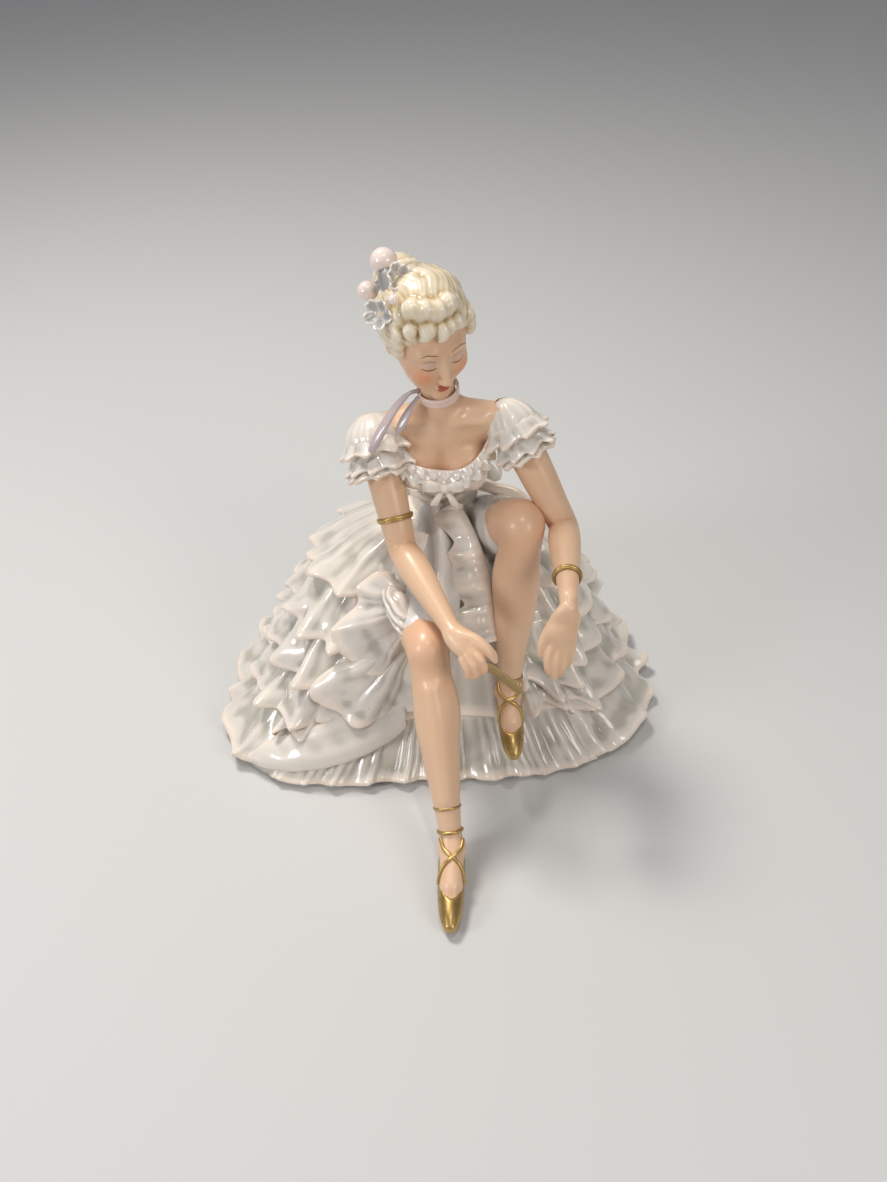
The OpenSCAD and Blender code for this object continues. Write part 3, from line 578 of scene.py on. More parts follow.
def makeRuffleTree():
    tree = bpy.data.node_groups.new("ruffleFolds", "GeometryNodeTree")
    sockets = tree.interface
    sockets.new_socket("Sheet", in_out="INPUT", socket_type="NodeSocketGeometry")
    for name, value in (("Fold length", 16.0), ("Fold height", 3.0), ("Lean", 2.0), ("Droop", 2.0),
                        ("Roll out", 3.0), ("Unevenness", 1.0), ("Gather", 0.5), ("Lumps",
                                0.0), ("Softness", 0.5),
                        ("Seed", 1.0)):
        sockets.new_socket(name, in_out="INPUT", socket_type="NodeSocketFloat").default_value = value
    sockets.new_socket("Glaze", in_out="INPUT", socket_type="NodeSocketMaterial")
    sockets.new_socket("Sheet", in_out="OUTPUT", socket_type="NodeSocketGeometry")
    given = tree.nodes.new("NodeGroupInput").outputs
    made = tree.nodes.new("NodeGroupOutput")
    along, down = namedInput(tree, "along", "FLOAT"), namedInput(tree, "down", "FLOAT")
    seed = mathNode(tree, "MULTIPLY", given["Seed"], 7.31)
    wander = mathNode(tree, "MULTIPLY", lineNoise(tree, along, 0.045, seed), given["Unevenness"])
    turns = mathNode(tree, "DIVIDE", along, given["Fold length"])
    phase = mathNode(tree, "MULTIPLY", mathNode(tree, "ADD", turns, wander), 2 * math.pi)
    half = mathNode(tree, "SINE", mathNode(tree, "MULTIPLY", phase, 0.5))
    half = mathNode(tree, "SQRT", mathNode(tree, "MULTIPLY_ADD", half, half, 0.04))
    lobes = mathNode(tree, "MULTIPLY_ADD", half, 2.0, -1.3)
    waves = mathNode(tree, "SINE", phase)
    crest = mathNode(tree, "MULTIPLY_ADD", mathNode(tree, "SUBTRACT", waves, lobes), given["Softness"],
                     lobes)
    grow = mathNode(tree, "POWER", down, 1.15)
    second = mathNode(tree, "ADD", seed, 3.7)
    third = mathNode(tree, "ADD", seed, 9.1)
    loud = mathNode(tree, "MULTIPLY_ADD", lineNoise(tree, along, 0.06, second), 1.0, 1.0)
    side = mathNode(tree, "MULTIPLY_ADD", lineNoise(tree, along, 0.05, third), 1.6, 0.35)
    height = mathNode(tree, "MULTIPLY", mathNode(tree, "MULTIPLY", crest, grow),
                      mathNode(tree, "MULTIPLY", given["Fold height"], loud))
    roll = mathNode(tree, "MULTIPLY", mathNode(tree, "POWER", down, 2.2), given["Roll out"])
    early = mathNode(tree, "MULTIPLY", down, mathNode(tree, "SUBTRACT", 1.25, down))
    pleat = mathNode(tree, "SINE", mathNode(tree, "MULTIPLY_ADD", phase, 3.0, 1.0))
    pleat = mathNode(tree, "MULTIPLY", mathNode(tree, "MULTIPLY", pleat, early), given["Gather"])
    out = mathNode(tree, "ADD", mathNode(tree, "ADD", height, roll), pleat)
    lean = mathNode(tree, "MULTIPLY", mathNode(tree, "MULTIPLY", crest, grow),
                    mathNode(tree, "MULTIPLY", given["Lean"], side))
    fall = mathNode(tree, "MULTIPLY", mathNode(tree, "MULTIPLY", crest, mathNode(tree, "POWER", down, 1.6)),
                    mathNode(tree, "MULTIPLY", given["Droop"], loud))
    move = vectorNode(tree, "SCALE", namedInput(tree, "outward", "FLOAT_VECTOR"), scale=out)
    move = vectorNode(tree, "ADD", move, vectorNode(tree, "SCALE",
                                                    namedInput(tree, "sideways", "FLOAT_VECTOR"),
                                                    scale=lean))
    move = vectorNode(tree, "ADD", move, vectorNode(tree, "SCALE",
                                                    namedInput(tree, "downward", "FLOAT_VECTOR"),
                                                    scale=fall))
    spot = tree.nodes.new("GeometryNodeInputPosition").outputs[0]
    lumps = tree.nodes.new("ShaderNodeTexNoise")
    lumps.inputs["Scale"].default_value = 75.0
    lumps.inputs["Detail"].default_value = 1.0
    tree.links.new(spot, lumps.inputs["Vector"])
    lump = vectorNode(tree, "SUBTRACT", lumps.outputs["Color"], constantVector(tree, 0.5))
    lump = vectorNode(tree, "SCALE", lump, scale=mathNode(tree, "MULTIPLY", down, given["Lumps"]))
    move = vectorNode(tree, "ADD", move, lump)
    metres = mathNode(tree, "MULTIPLY", 1.0, mm)
    move = vectorNode(tree, "SCALE", move, scale=metres)
    place = tree.nodes.new("GeometryNodeSetPosition")
    tree.links.new(given["Sheet"], place.inputs["Geometry"])
    tree.links.new(move, place.inputs["Offset"])
    real = tree.nodes.new("GeometryNodeRealizeInstances")
    tree.links.new(place.outputs["Geometry"], real.inputs["Geometry"])
    paint = tree.nodes.new("GeometryNodeSetMaterial")
    tree.links.new(real.outputs["Geometry"], paint.inputs["Geometry"])
    tree.links.new(given["Glaze"], paint.inputs["Material"])
    tree.links.new(paint.outputs["Geometry"], made.inputs["Sheet"])
    return tree


ruffleTree = makeRuffleTree()


def setInputs(modifier, tree, values):
    for item in tree.interface.items_tree:
        if item.item_type == "SOCKET" and item.in_out == "INPUT" and item.name in values:
            modifier[item.identifier] = values[item.name]


def ruffled(name, place, counts, look, material, nodes, closed=False):
    # place(s, t) gives points on the plain sheet; s runs along the free edge and t from seam to edge
    n, m = counts
    s = np.linspace(0, 1, n, endpoint=not closed)[:, None] * np.ones((1, m))
    t = np.linspace(0, 1, m)[None, :] * np.ones((n, 1))
    grid = place(s, t)
    if closed:
        alongStep = np.roll(grid, -1, 0) - np.roll(grid, 1, 0)
    else:
        alongStep = np.gradient(grid, axis=0)
    downStep = np.gradient(grid, axis=1)
    outward = np.cross(downStep, alongStep)
    outward /= np.maximum(np.linalg.norm(outward, axis=2, keepdims=True), 1e-9)
    if look.get("flip"):
        outward = -outward
    sideways = alongStep / np.maximum(np.linalg.norm(alongStep, axis=2, keepdims=True), 1e-9)
    downward = downStep / np.maximum(np.linalg.norm(downStep, axis=2, keepdims=True), 1e-9)
    rim = grid[:, -1] if look.get("measureAtEdge", True) else grid[:, m // 2]
    steps = np.linalg.norm(np.diff(rim, axis=0), axis=1)
    along = np.concatenate([[0], np.cumsum(steps)])[:, None] * np.ones((1, m))
    fade = np.ones((n, 1))
    if not closed and look.get("fadeEnds", 0.03) > 0:
        f = look.get("fadeEnds", 0.03)
        fade = np.clip(np.minimum(s[:, :1], 1 - s[:, :1]) / f, 0, 1) ** 0.6
    index = np.arange(n * m).reshape(n, m)
    nextRow = np.roll(index, -1, 0) if closed else index[1:]
    first = index if closed else index[:-1]
    faces = np.stack([first[:, :-1], nextRow[:, :-1], nextRow[:, 1:], first[:, 1:]], -1).reshape(-1, 4)
    if not look.get("flip"):
        faces = faces[:, ::-1]
    mesh = meshFrom(name, grid.reshape(-1, 3), faces)
    setValue(mesh, "along", along.ravel())
    setValue(mesh, "down", (t * fade).ravel())
    # a painted warm reflection along the free edge of each ruffle
    setValue(mesh, "edge", look.get("warmth", 0.7) * np.clip((t.ravel() - 0.8) / 0.2, 0, 1) ** 2)
    for key, value in (("outward", outward), ("sideways", sideways), ("downward", downward)):
        layer = mesh.attributes.new(key, "FLOAT_VECTOR", "POINT")
        layer.data.foreach_set("vector", value.astype(np.float32).ravel())
    piece = addObject(name, mesh)
    folds = piece.modifiers.new("folds", "NODES")
    folds.node_group = ruffleTree
    inputs = {key: value for key, value in look.items() if key[0].isupper()}
    setInputs(folds, ruffleTree, {**inputs, "Glaze": material})
    wall = piece.modifiers.new("wall", "SOLIDIFY")
    wall.thickness = look.get("wall", 1.9) * mm
    wall.offset = look.get("wallSide", -0.6)
    round_ = piece.modifiers.new("round", "SUBSURF")
    round_.levels = round_.render_levels = 1
    settled(piece)
    for key in ("along", "down", "outward", "sideways", "downward"):
        layer = piece.data.attributes.get(key)
        if layer:
            piece.data.attributes.remove(layer)
    return finishPiece(piece, material, nodes, look.get("reach", 1.6), look.get("depth", 0.75))


# ---------- skirt ----------
def makeSkirtCore():
    angles = np.arange(0, 360, 3.0)
    outer = [ground(angles, z, 0.0) for z in np.linspace(97, 0.9, 34)]
    inner = [ground(angles, z, -3.0) for z in np.linspace(3.4, 92, 26)]
    rings = outer + inner
    n = len(angles)
    points = np.vstack(rings + [[[0, 7, 96.9]], [[0, 7, 92]]])
    faces = []
    for i in range(len(rings) - 1):
        for j in range(n):
            k = (j + 1) % n
            faces.append((i * n + j, (i + 1) * n + j, (i + 1) * n + k, i * n + k))
    mesh = bpy.data.meshes.new("skirtCore")
    top, bottom = len(points) - 2, len(points) - 1
    last = (len(rings) - 1) * n
    for j in range(n):
        k = (j + 1) % n
        faces.append((top, j, k))
        faces.append((bottom, last + k, last + j))
    mesh.from_pydata((points * mm).tolist(), [], faces)
    piece = addObject("skirtCore", mesh)
    finishPiece(piece, whiteGlaze, ["skirt_core"])


tiers = {"from": -38.0, "to": [219.0, 226.0, 233.0, 238.0, 242.0],
         "edge": [0.012, 0.20, 0.385, 0.57, 0.75], "seam": [0.30, 0.48, 0.66, 0.84, 0.985],
         "stand": 1.0, "Fold length": 18.0, "Fold height": 4.6, "Lean": 4.2, "Droop": 2.2, "Roll out": 4.8,
         "Unevenness": 0.55, "Gather": 0.35, "Lumps": 6.5, "Softness": 0.5, "wall": 3.6, "reach": 2.6,
         "depth": 1.3}


def makeTiers():
    for i in range(5):
        low, high = tiers["edge"][i] * 97, tiers["seam"][i] * 97

        def place(s, t, low=low, high=high, i=i):
            a = mix(tiers["from"], tiers["to"][i], s)
            z = mix(high, low + 1.6 * sinD(a * 2 + 70 * i) + 0.8 * sinD(a * 5 + 31 * i), t)
            return ground(a, np.maximum(z, 1.9), tiers["stand"])
        look = dict(tiers)
        look["Seed"] = 2.0 + i
        look["Fold length"] = tiers["Fold length"] * (1.14 - 0.07 * i)
        look["Fold height"] = tiers["Fold height"] * (1.08 - 0.07 * i)
        if i == 0:
            look["Droop"] = 0.2
        count = int([520, 460, 380, 300, 220][i])
        ruffled(f"skirtTier{i + 1}", place, (count, 16), look, whiteGlaze, [f"tier_{i + 1}"])
    print("five tiers folded")


frontSkirt = {"Fold length": 24.0, "Fold height": 1.0, "Lean": 0.5, "Droop": 0.5, "Roll out": 1.4,
              "Unevenness": 0.5, "Gather": 0.3, "Seed": 21.0, "wall": 1.8, "reach": 2.6}
flounceLook = {"Fold length": 13.0, "Softness": 0.5, "Lumps": 2.5, "Fold height": 1.7, "Lean": 0.5,
               "Droop": 0.0, "Roll out": 3.0,
               "Unevenness": 0.6, "Gather": 0.9, "Seed": 31.0, "wall": 2.4, "reach": 2.0, "depth": 0.8}


def makeFront():
    def petticoat(s, t):
        a = mix(-140, -36, s)
        return ground(a, mix(62, 23.5, t), 1.0)
    ruffled("petticoatRuffle", petticoat, (180, 24), frontSkirt, whiteGlaze, ["petticoat"])

    def flounce(s, t):
        a = mix(-142, -36, s)
        wave = 0.5 + 0.5 * np.sin(2 * np.pi * s * 6.2 + 0.6)
        return ground(a, mix(25.5, 1.5, t), 0.4 + 1.8 * wave * t ** 2)
    ruffled("hemFlounce", flounce, (420, 20), flounceLook, whiteGlaze, ["flounce"])

    def upper(s, t):
        a = mix(-54, -31, s)
        return ground(a, mix(60, 33 + 4 * sinD(s * 360), t), 1.4)
    sideLook = {"Fold length": 12.5, "Fold height": 3.0, "Lean": 3.6, "Droop": 3.0, "Roll out": 5.4,
                "Unevenness": 0.4, "Gather": 0.3, "Lumps": 6.0, "Softness": 0.7, "Seed": 41.0,
                "wall": 3.0, "reach": 2.2}
    ruffled("sideRuffleUpper", upper, (80, 22), sideLook, whiteGlaze, ["side_ruffle_upper"])

    def lower(s, t):
        a = mix(-53, -27, s)
        return ground(a, mix(42, 23 + 2 * sinD(s * 300), t), 1.4)
    ruffled("sideRuffleLower", lower, (90, 20), {**sideLook, "Seed": 43.0, "Fold length": 12.5}, whiteGlaze,
            ["side_ruffle_lower"])
    print("front of the skirt made")


drape = {"Fold length": 24.0, "Fold height": 2.6, "Lean": 2.6, "Droop": 1.8, "Roll out": 2.6,
         "Softness": 0.8,
         "Lumps": 4.0, "Unevenness": 0.3,
         "Gather": 0.5, "Lumps": 4.0, "Seed": 52.0, "wall": 3.2, "reach": 3.0, "depth": 1.2}


def makeDrape():
    # the big flap falls from the gathers beside the knee in two lobes, the upper over the lower
    for k, (name, corners, lift, knot) in enumerate((
            ("drapeFlapLower", [(-126, 56), (-136, 46), (-139, 37), (-133, 29), (-121, 25.5), (-109, 29),
                                (-101, 40)],
             2.6, (-107, 64, -104, 58)),
            ("drapeFlapUpper", [(-106, 92), (-118, 88), (-130, 78), (-137, 65), (-136, 54), (-127, 47),
                                (-116, 48)],
             4.4, (-106, 77, -107, 64)))):
        rim = smoothPath(corners, 12)

        def flap(s, t, rim=rim, lift=lift, knot=knot):
            spots = np.linspace(0, len(rim) - 1, s.shape[0])
            ra = np.interp(spots, np.arange(len(rim)), rim[:, 0])[:, None]
            rz = np.interp(spots, np.arange(len(rim)), rim[:, 1])[:, None]
            a = mix(mix(knot[0], knot[2], s), ra, t)
            z = mix(mix(knot[1], knot[3], s), rz, t)
            return ground(a, z, lift + 5.4 * np.sin(np.pi * np.clip(t, 0, 1) ** 0.75) + 0.6 * t)
        ruffled(name, flap, (180, 30), {**drape, "Seed": 52.0 + 3 * k}, whiteGlaze,
                ["drape_flap"])

    def pocket(s, t):
        a = mix(-147, -124, s)
        return ground(a, mix(31, 17, t), 1.6)
    pocketLook = {"Fold length": 9.5, "Fold height": 2.8, "Lean": 3.4, "Droop": 2.4, "Roll out": 3.4,
                  "Unevenness": 0.5, "Gather": 0.3, "Lumps": 6.0, "Softness": 0.7, "Seed": 61.0, "wall": 3.0}
    ruffled("pocketRuffles", pocket, (90, 16), pocketLook, whiteGlaze, ["pocket_ruffles"])

    # the long rolled fold that sweeps down to the front corner
    clay = clayBlock((-105, -85, 0.5), (-15, -35, 48), 0.75)
    rows = []
    for q in np.linspace(0, 1, 7):
        a = mix(-104, -148, q)
        p = ground(a, mix(31, 5.6, q ** 0.62), 3.0)
        rows.append([p[0], p[1], max(p[2], 5.4), 2.0 + 3.3 * np.sin(np.pi * (0.04 + 0.8 * q))])
    addChain(clay, rows, 8)
    for dq, r in ((5.0, 4.0), (9.5, 3.0), (13.5, 1.8)):
        inner = []
        for q in np.linspace(0.05, 0.93, 6):
            a = mix(-105, -148, q)
            p = ground(a, mix(30, 4.6, q ** 0.62) + dq * np.sin(np.pi * q) ** 0.6, 2.2)
            inner.append([p[0], p[1], p[2], r])
        addChain(clay, inner, 6, 4.0)
    points, faces = skinOf(clay)
    along = np.clip((-20 - points[:, 0]) / 75, 0, 1)
    points[:, 2] += 0.35 * np.sin(points[:, 0] * 0.55 + points[:, 1] * 0.4) * along
    piece = addObject("trainFold", meshFrom("trainFold", points, faces))
    # a painted warm reflection on the fold's lowest part, near the floor
    setValue(piece.data, "edge", 0.45 * np.clip((7 - points[:, 2]) / 6, 0, 1))
    finishPiece(piece, whiteGlaze, ["train_fold"], 2.4, 1.2)
    print("drape and train made")


def makeCascade():
    def place(s, t):
        z = mix(100, 56, s)
        a = mix(-56 - 6 * s, -86 + 3 * s - 5 * np.sin(2 * np.pi * 2.7 * s), t)
        return ground(a, z, 4.5 + 6.5 * s + 5.0 * np.sin(np.pi * t ** 0.8 * 0.95))
    look = {"Fold length": 16.0, "Fold height": 2.2, "Lean": 1.6, "Droop": 2.6, "Roll out": 1.0,
            "Unevenness": 0.2, "Gather": 0.3, "Softness": 0.6, "Lumps": 3.0, "Seed": 71.0, "wall": 2.5,
            "reach": 2.2}
    ruffled("frontCascade", place, (120, 22), look, whiteGlaze, ["cascade"])

    clay = clayBlock((-28, -62, 55), (46, 22, 110), 0.85)
    addChain(clay, [(0, 2, 95, 11), (-2, -10, 86, 11), (-4, -25, 78, 11.5), (-5.4, -40, 74, 11.2),
                    (-6, -45, 73, 10.6)],
             6)
    addChain(clay, [(12, 10, 82, 13), (19, 1, 89, 13), (25, -10, 96, 12.2), (26.5, -14.5, 98.5, 11.6)], 6,
             4.0)
    addBall(clay, (12, -8, 80), (16, 16, 9), 5.0)
    points, faces = skinOf(clay)
    fold = np.sin(points[:, 0] * 0.75 + 0.16 * points[:, 1] + 1.5 * np.sin(points[:, 1] * 0.12))
    points[:, 2] += 0.6 * fold
    points[:, 1] -= 0.4 * fold
    piece = addObject("overskirt", meshFrom("overskirt", points, faces))
    finishPiece(piece, greyGlaze, ["overskirt_lap", "overskirt_thigh"], 2.2, 1.0)

    # the gathered knot beside the right knee
    clay = clayBlock((-34, -60, 62), (0, -22, 96), 0.45)
    addChain(clay, [(-22, -30, 80, 2.4), (-18.5, -37, 80, 4.6), (-15.6, -44, 77, 4.4),
                    (-13.6, -50, 71, 2.0)], 8)
    points, faces = skinOf(clay)
    gather = np.sin(1.9 * points[:, 2] + 0.9 * points[:, 0] + 0.4 * np.sin(0.8 * points[:, 1]))
    away = points - vec(-17, -40, 78)
    away /= np.linalg.norm(away, axis=1, keepdims=True)
    points = points + away * (0.45 * gather)[:, None]
    piece = addObject("drapeKnot", meshFrom("drapeKnot", points, faces))
    finishPiece(piece, whiteGlaze, ["drape_knot"], 1.4, 0.7)
    print("cascade and overskirt made")


makeSkirtCore()
makeTiers()
makeFront()
makeDrape()
makeCascade()


# ---------- body ----------
pose = {
    "shoulder": [vec(-26, -5, 136), vec(24.5, -9, 145)],
    "elbow": [vec(-15.8, -26.4, 98), vec(45.8, -23, 106.5)],
    "wrist": [vec(3.3, -64, 88.6), vec(44.3, -65, 105.4)],
    "hip": [vec(-8.6, -36, 70), vec(25.4, -14, 101)],
    "knee": [vec(-6, -56, 73.5), vec(29.6, -25, 108)],
    "ankle": [vec(3.3, -102, 12.5), vec(26.4, -45, 39.5)],
    "toe": [vec(2.5, -131, 4.4), vec(28, -67, 26.4)],
}


def point(p, r):
    return [p[0], p[1], p[2], r]


def limbBetween(a, b, t, r, shift=(0, 0, 0)):
    return point(mix(a, b, t) + vec(*shift), r)


def makeBust():
    clay = clayBlock((-38, -28, 116), (36, 14, 172), 0.65)
    addBall(clay, (-0.6, -1.5, 128), (19.5, 11, 16), 0)
    addBall(clay, (-1, -3.6, 138), (20.5, 8.4, 8.5), 6)
    addCone(clay, pose["shoulder"][0] + vec(2.5, 1, 0.5), (-8, -4.5, 143.5), 6.4, 6.0, 5)
    addCone(clay, pose["shoulder"][1] + vec(-2.5, 1, -0.6), (6, -5, 145), 6.2, 6.2, 5)
    addChain(clay, [(-1, -4.5, 140, 8.4), (-1.3, -5.6, 148, 7.0), (-1.9, -6.9, 155, 6.5),
                    (-3.2, -7.8, 161, 6.4),
                    (-4.4, -7.2, 168, 6.4)], 8, 5)
    for x, y in ((-9.4, -9.6), (7.8, -10.6)):
        addBall(clay, (x, y, 126.5), (8.2, 6.4, 7.6), 4)
    addCone(clay, (-2.6, -11.4, 144.6), (-17, -10, 142.5), 0.8, 0.6, 3.4)
    addCone(clay, (1.4, -11.6, 145), (15, -12.4, 146.5), 0.8, 0.6, 3.4)
    addBall(clay, (-0.7, -15.4, 146.2), (2.0, 1.6, 1.8), 2.5, cut=True)
    addBall(clay, (-0.8, -15.8, 131), (1.4, 1.5, 7), 3, cut=True)
    points, faces = skinOf(clay)
    piece = addObject("bustSkin", meshFrom("bustSkin", points, faces))
    setValue(piece.data, "blush", 0.18 * bump(points[:, 2] - 128, 6))
    finishPiece(piece, skinGlaze, ["bust"], 2.2, 1.4)


def makeBodice():
    clay = clayBlock((-30, -26, 92), (28, 20, 134), 0.55)
    sections = [(0, 7, 96, 12.9, 9.4), (0, 5, 106, 14.4, 10), (-0.3, 2, 115, 17.6, 11.9),
                (-0.5, -0.4, 124, 19.9, 12.4),
                (-0.6, -1, 128, 20.2, 11.6)]
    rows = smoothPath(sections, 6)
    spans, (x, y, z) = part(clay, (-29, -25, 92.5), (27, 19, 133))
    cx = np.interp(z, rows[:, 2], rows[:, 0])
    cy = np.interp(z, rows[:, 2], rows[:, 1])
    rx = np.interp(z, rows[:, 2], rows[:, 3])
    ry = np.interp(z, rows[:, 2], rows[:, 4])
    d = (np.sqrt(((x - cx) / rx) ** 2 + ((y - cy) / ry) ** 2) - 1) * np.minimum(rx, ry)
    tall = np.maximum(94.5 - z, z - 124.0 - 0.011 * x * x) + 0 * d
    press(clay, spans, np.maximum(d, tall).astype(np.float32), 0)
    for x, y in ((-9.2, -9.9), (8.0, -10.8)):
        addBall(clay, (x, y, 121.5), (8.8, 7.2, 6.4), 3.5)
    points, faces = skinOf(clay)
    # folds that meet in a row of soft chevrons down the front
    front = np.clip(-(points[:, 1] - 2) / 10, 0, 1)
    across = np.abs(points[:, 0] + 0.4)
    chevron = np.sin((points[:, 2] - 0.75 * across) * 0.95)
    sides = np.sin((points[:, 2] * 0.5 + points[:, 0] * 0.9) * 0.9)
    near = bump(across, 7.5)
    push = front * (0.95 * chevron * near + 0.28 * sides * (1 - near)) * np.clip((124 - points[:, 2]) / 6,
            0, 1)
    points[:, 1] -= push
    piece = addObject("bodiceShell", meshFrom("bodiceShell", points, faces))
    finishPiece(piece, whiteGlaze, ["bodice"], 1.8, 0.8)


def fingers(clay, chains, soft):
    for chain in chains:
        addChain(clay, chain, 6, soft)


def makeArm(side):
    shoulder, elbow, wrist = (pose[key][side] for key in ("shoulder", "elbow", "wrist"))
    everything = np.array([shoulder, elbow, wrist])
    clay = clayBlock(everything.min(0) - vec(10, 18, 30 if side else 14),
                     everything.max(0) + vec(20, 8, 6), 0.55)
    addChain(clay, [limbBetween(shoulder, elbow, -0.05, 6.2), limbBetween(shoulder, elbow, 0.2, 7.0),
                    limbBetween(shoulder, elbow, 0.5, 6.8), limbBetween(shoulder, elbow, 0.8, 6.0),
                    point(elbow, 5.6), limbBetween(elbow, wrist, 0.2, 6.2), limbBetween(elbow, wrist,
                            0.42, 5.7),
                    limbBetween(elbow, wrist, 0.7, 4.5), limbBetween(elbow, wrist, 0.9, 3.7), point(wrist,
                            3.5)], 6)
    if side == 0:
        # a pinching hand, the back of it up
        palm = unit(vec(8.4, -8, -2.4))
        across = unit(vec(-0.62, -0.66, -0.5))
        frameRows = [palm, across, unit(np.cross(palm, across))]
        addBall(clay, (8.2, -69.4, 87.0), (6.6, 5.0, 2.7), 3.0, frameRows)
        addBall(clay, (5.6, -66.8, 87.9), (5.0, 4.0, 2.9), 3.0, frameRows)
        fingers(clay, [
            [(11.2, -70.6, 88.4, 2.0), (14.6, -72.4, 87.6, 1.75), (17.0, -73.6, 85.6, 1.5),
             (18.6, -73.8, 83.2, 1.15)],
            [(10.4, -72.4, 86.4, 2.0), (13.2, -75.0, 84.8, 1.75), (14.6, -75.8, 81.4, 1.5),
             (14.0, -75.2, 78.6, 1.15)],
            [(8.8, -73.2, 84.8, 1.95), (11.0, -76.0, 82.6, 1.7), (11.8, -76.4, 79.2, 1.45),
             (11.0, -75.4, 76.6, 1.1)],
            [(7.0, -73.2, 83.4, 1.8), (8.6, -75.6, 80.8, 1.55), (9.0, -75.8, 78.0, 1.3),
             (8.4, -74.6, 75.8, 1.0)]],
            0.7)
        fingers(clay, [[(7.0, -67.4, 89.4, 2.2), (11.4, -69.4, 90.0, 1.85), (15.2, -71.4, 88.0, 1.6),
                        (18.2, -72.4, 85.0, 1.15)]], 1.6)
        name, node = "armRight", "arm_right"
        tips = vec(14, -74, 80)
    else:
        # a hand hanging loose from the wrist
        addBall(clay, (43.4, -69.6, 99.0), (5.2, 2.9, 7.4), 3.0)
        addBall(clay, (42.2, -72.0, 93.4), (5.2, 2.7, 5.4), 2.5)
        fingers(clay, [
            [(39.2, -72.4, 91.0, 2.0), (37.6, -74.6, 86.4, 1.7), (37.4, -75.4, 82.0, 1.45),
             (38.0, -75.0, 78.6, 1.1)],
            [(41.6, -73.0, 90.0, 2.0), (40.4, -75.6, 84.8, 1.75), (40.0, -76.2, 79.8, 1.5),
             (40.4, -75.4, 76.0, 1.15)],
            [(43.8, -72.8, 90.4, 1.95), (43.2, -75.0, 85.2, 1.7), (42.6, -75.4, 80.6, 1.45),
             (42.6, -74.6, 77.2, 1.1)],
            [(45.8, -71.8, 91.6, 1.8), (45.8, -73.6, 86.8, 1.5), (45.2, -74.0, 83.0, 1.3),
             (44.8, -73.4, 80.4, 1.0)]],
            0.7)
        fingers(clay, [[(40.6, -68.8, 99.4, 2.3), (37.2, -70.6, 94.4, 2.0), (35.2, -72.0, 89.6, 1.65),
                        (34.6, -72.8, 85.4, 1.1)]], 1.8)
        name, node = "armLeft", "arm_left"
        tips = vec(40, -75, 78)
    points, faces = skinOf(clay, 2)
    piece = addObject(name, meshFrom(name, points, faces))
    blush = 0.35 * bump(np.linalg.norm(points - tips, axis=1), 7)
    blush += 0.3 * bump(np.linalg.norm(points - elbow, axis=1), 6)
    setValue(piece.data, "blush", np.clip(blush, 0, 0.5))
    finishPiece(piece, skinGlaze, [node], 2.0, 1.5)


def footRows(side, grow=0.0):
    ankle, toe = pose["ankle"][side], pose["toe"][side]
    heel = ankle + (vec(0, 4.5, -6) if side == 0 else vec(0, 6, -5.4))
    return [
        point(heel, 3.4 + grow), limbBetween(heel, toe, 0.2, 4.3 + grow, (0, 0, 1.2)),
        limbBetween(heel, toe, 0.45, 4.3 + grow, (0, 0, 0.9)), limbBetween(heel, toe, 0.7, 4.1 + grow,
                (0, 0, 0.2)),
        limbBetween(heel, toe, 0.88, 3.3 + grow), limbBetween(heel, toe, 1.0, 2.0 + grow)
    ]


def footSide(side):
    return unit(pose["toe"][side] - pose["ankle"][side])


legSkins = {}


def makeLeg(side):
    hip, knee, ankle, toe = (pose[key][side] for key in ("hip", "knee", "ankle", "toe"))
    everything = np.array([hip, knee, ankle, toe])
    clay = clayBlock(everything.min(0) - vec(13, 13, 10), everything.max(0) + vec(13, 12, 13), 0.65)
    big = 1.0 if side == 0 else 1.08
    addChain(clay, [point(hip, 9.2 * big), limbBetween(hip, knee, 0.55, 9.6 * big), point(knee, 8.4 * big),
                    limbBetween(knee, ankle, 0.14, 7.7 * big), limbBetween(knee, ankle, 0.34, 8.3 * big,
                            (0, 1.2, 0)),
                    limbBetween(knee, ankle, 0.55, 7.2 * big, (0, 0.8, 0)), limbBetween(knee, ankle, 0.78,
                            5.2 * big),
                    limbBetween(knee, ankle, 0.93, 4.3 * big), point(ankle, 4.2 * big)], 7)
    shin = unit(ankle - knee)
    frontWay = unit(vec(0, -1, 0) - shin * (vec(0, -1, 0) @ shin))
    addBall(clay, knee + frontWay * 3.4 + shin * 0.5, (5.2, 5.0, 5.6), 4.0)
    addBall(clay, mix(knee, ankle, 0.33) - frontWay * 2.6 + vec(1.2 if side == 0 else -1.2, 0, 0),
            (6.6, 6.4, 13), 5.0,
            [vec(1, 0, 0), np.cross(shin, vec(1, 0, 0)), shin])
    addCone(clay, mix(knee, ankle, 0.2) + frontWay * 6.2, mix(knee, ankle, 0.75) + frontWay * 3.6, 1.2,
            1.0, 4.0)
    for x in (-1, 1):
        addBall(clay, ankle + vec(3.9 * x, 0.6, -0.4), (1.3, 1.5, 1.8), 1.8)
    addChain(clay, footRows(side, -0.3), 7, 3.0)
    addCone(clay, ankle + vec(0, -1.5, 0.5), mix(ankle, toe, 0.5) + vec(0, 0, 0.8), 4.3, 3.6, 4.0)
    points, faces = skinOf(clay)
    legSkins[side] = BVHTree.FromPolygons([Vector(p) for p in points.tolist()], faces.tolist())
    name, node = ("legRight", "leg_right") if side == 0 else ("legLeft", "leg_left")
    piece = addObject(name, meshFrom(name, points, faces))
    blush = 0.38 * bump(np.linalg.norm(points - knee, axis=1), 12)
    blush += 0.2 * bump(np.linalg.norm(points - toe, axis=1), 12)
    setValue(piece.data, "blush", blush)
    finishPiece(piece, skinGlaze, [node], 3.0, 2.4)


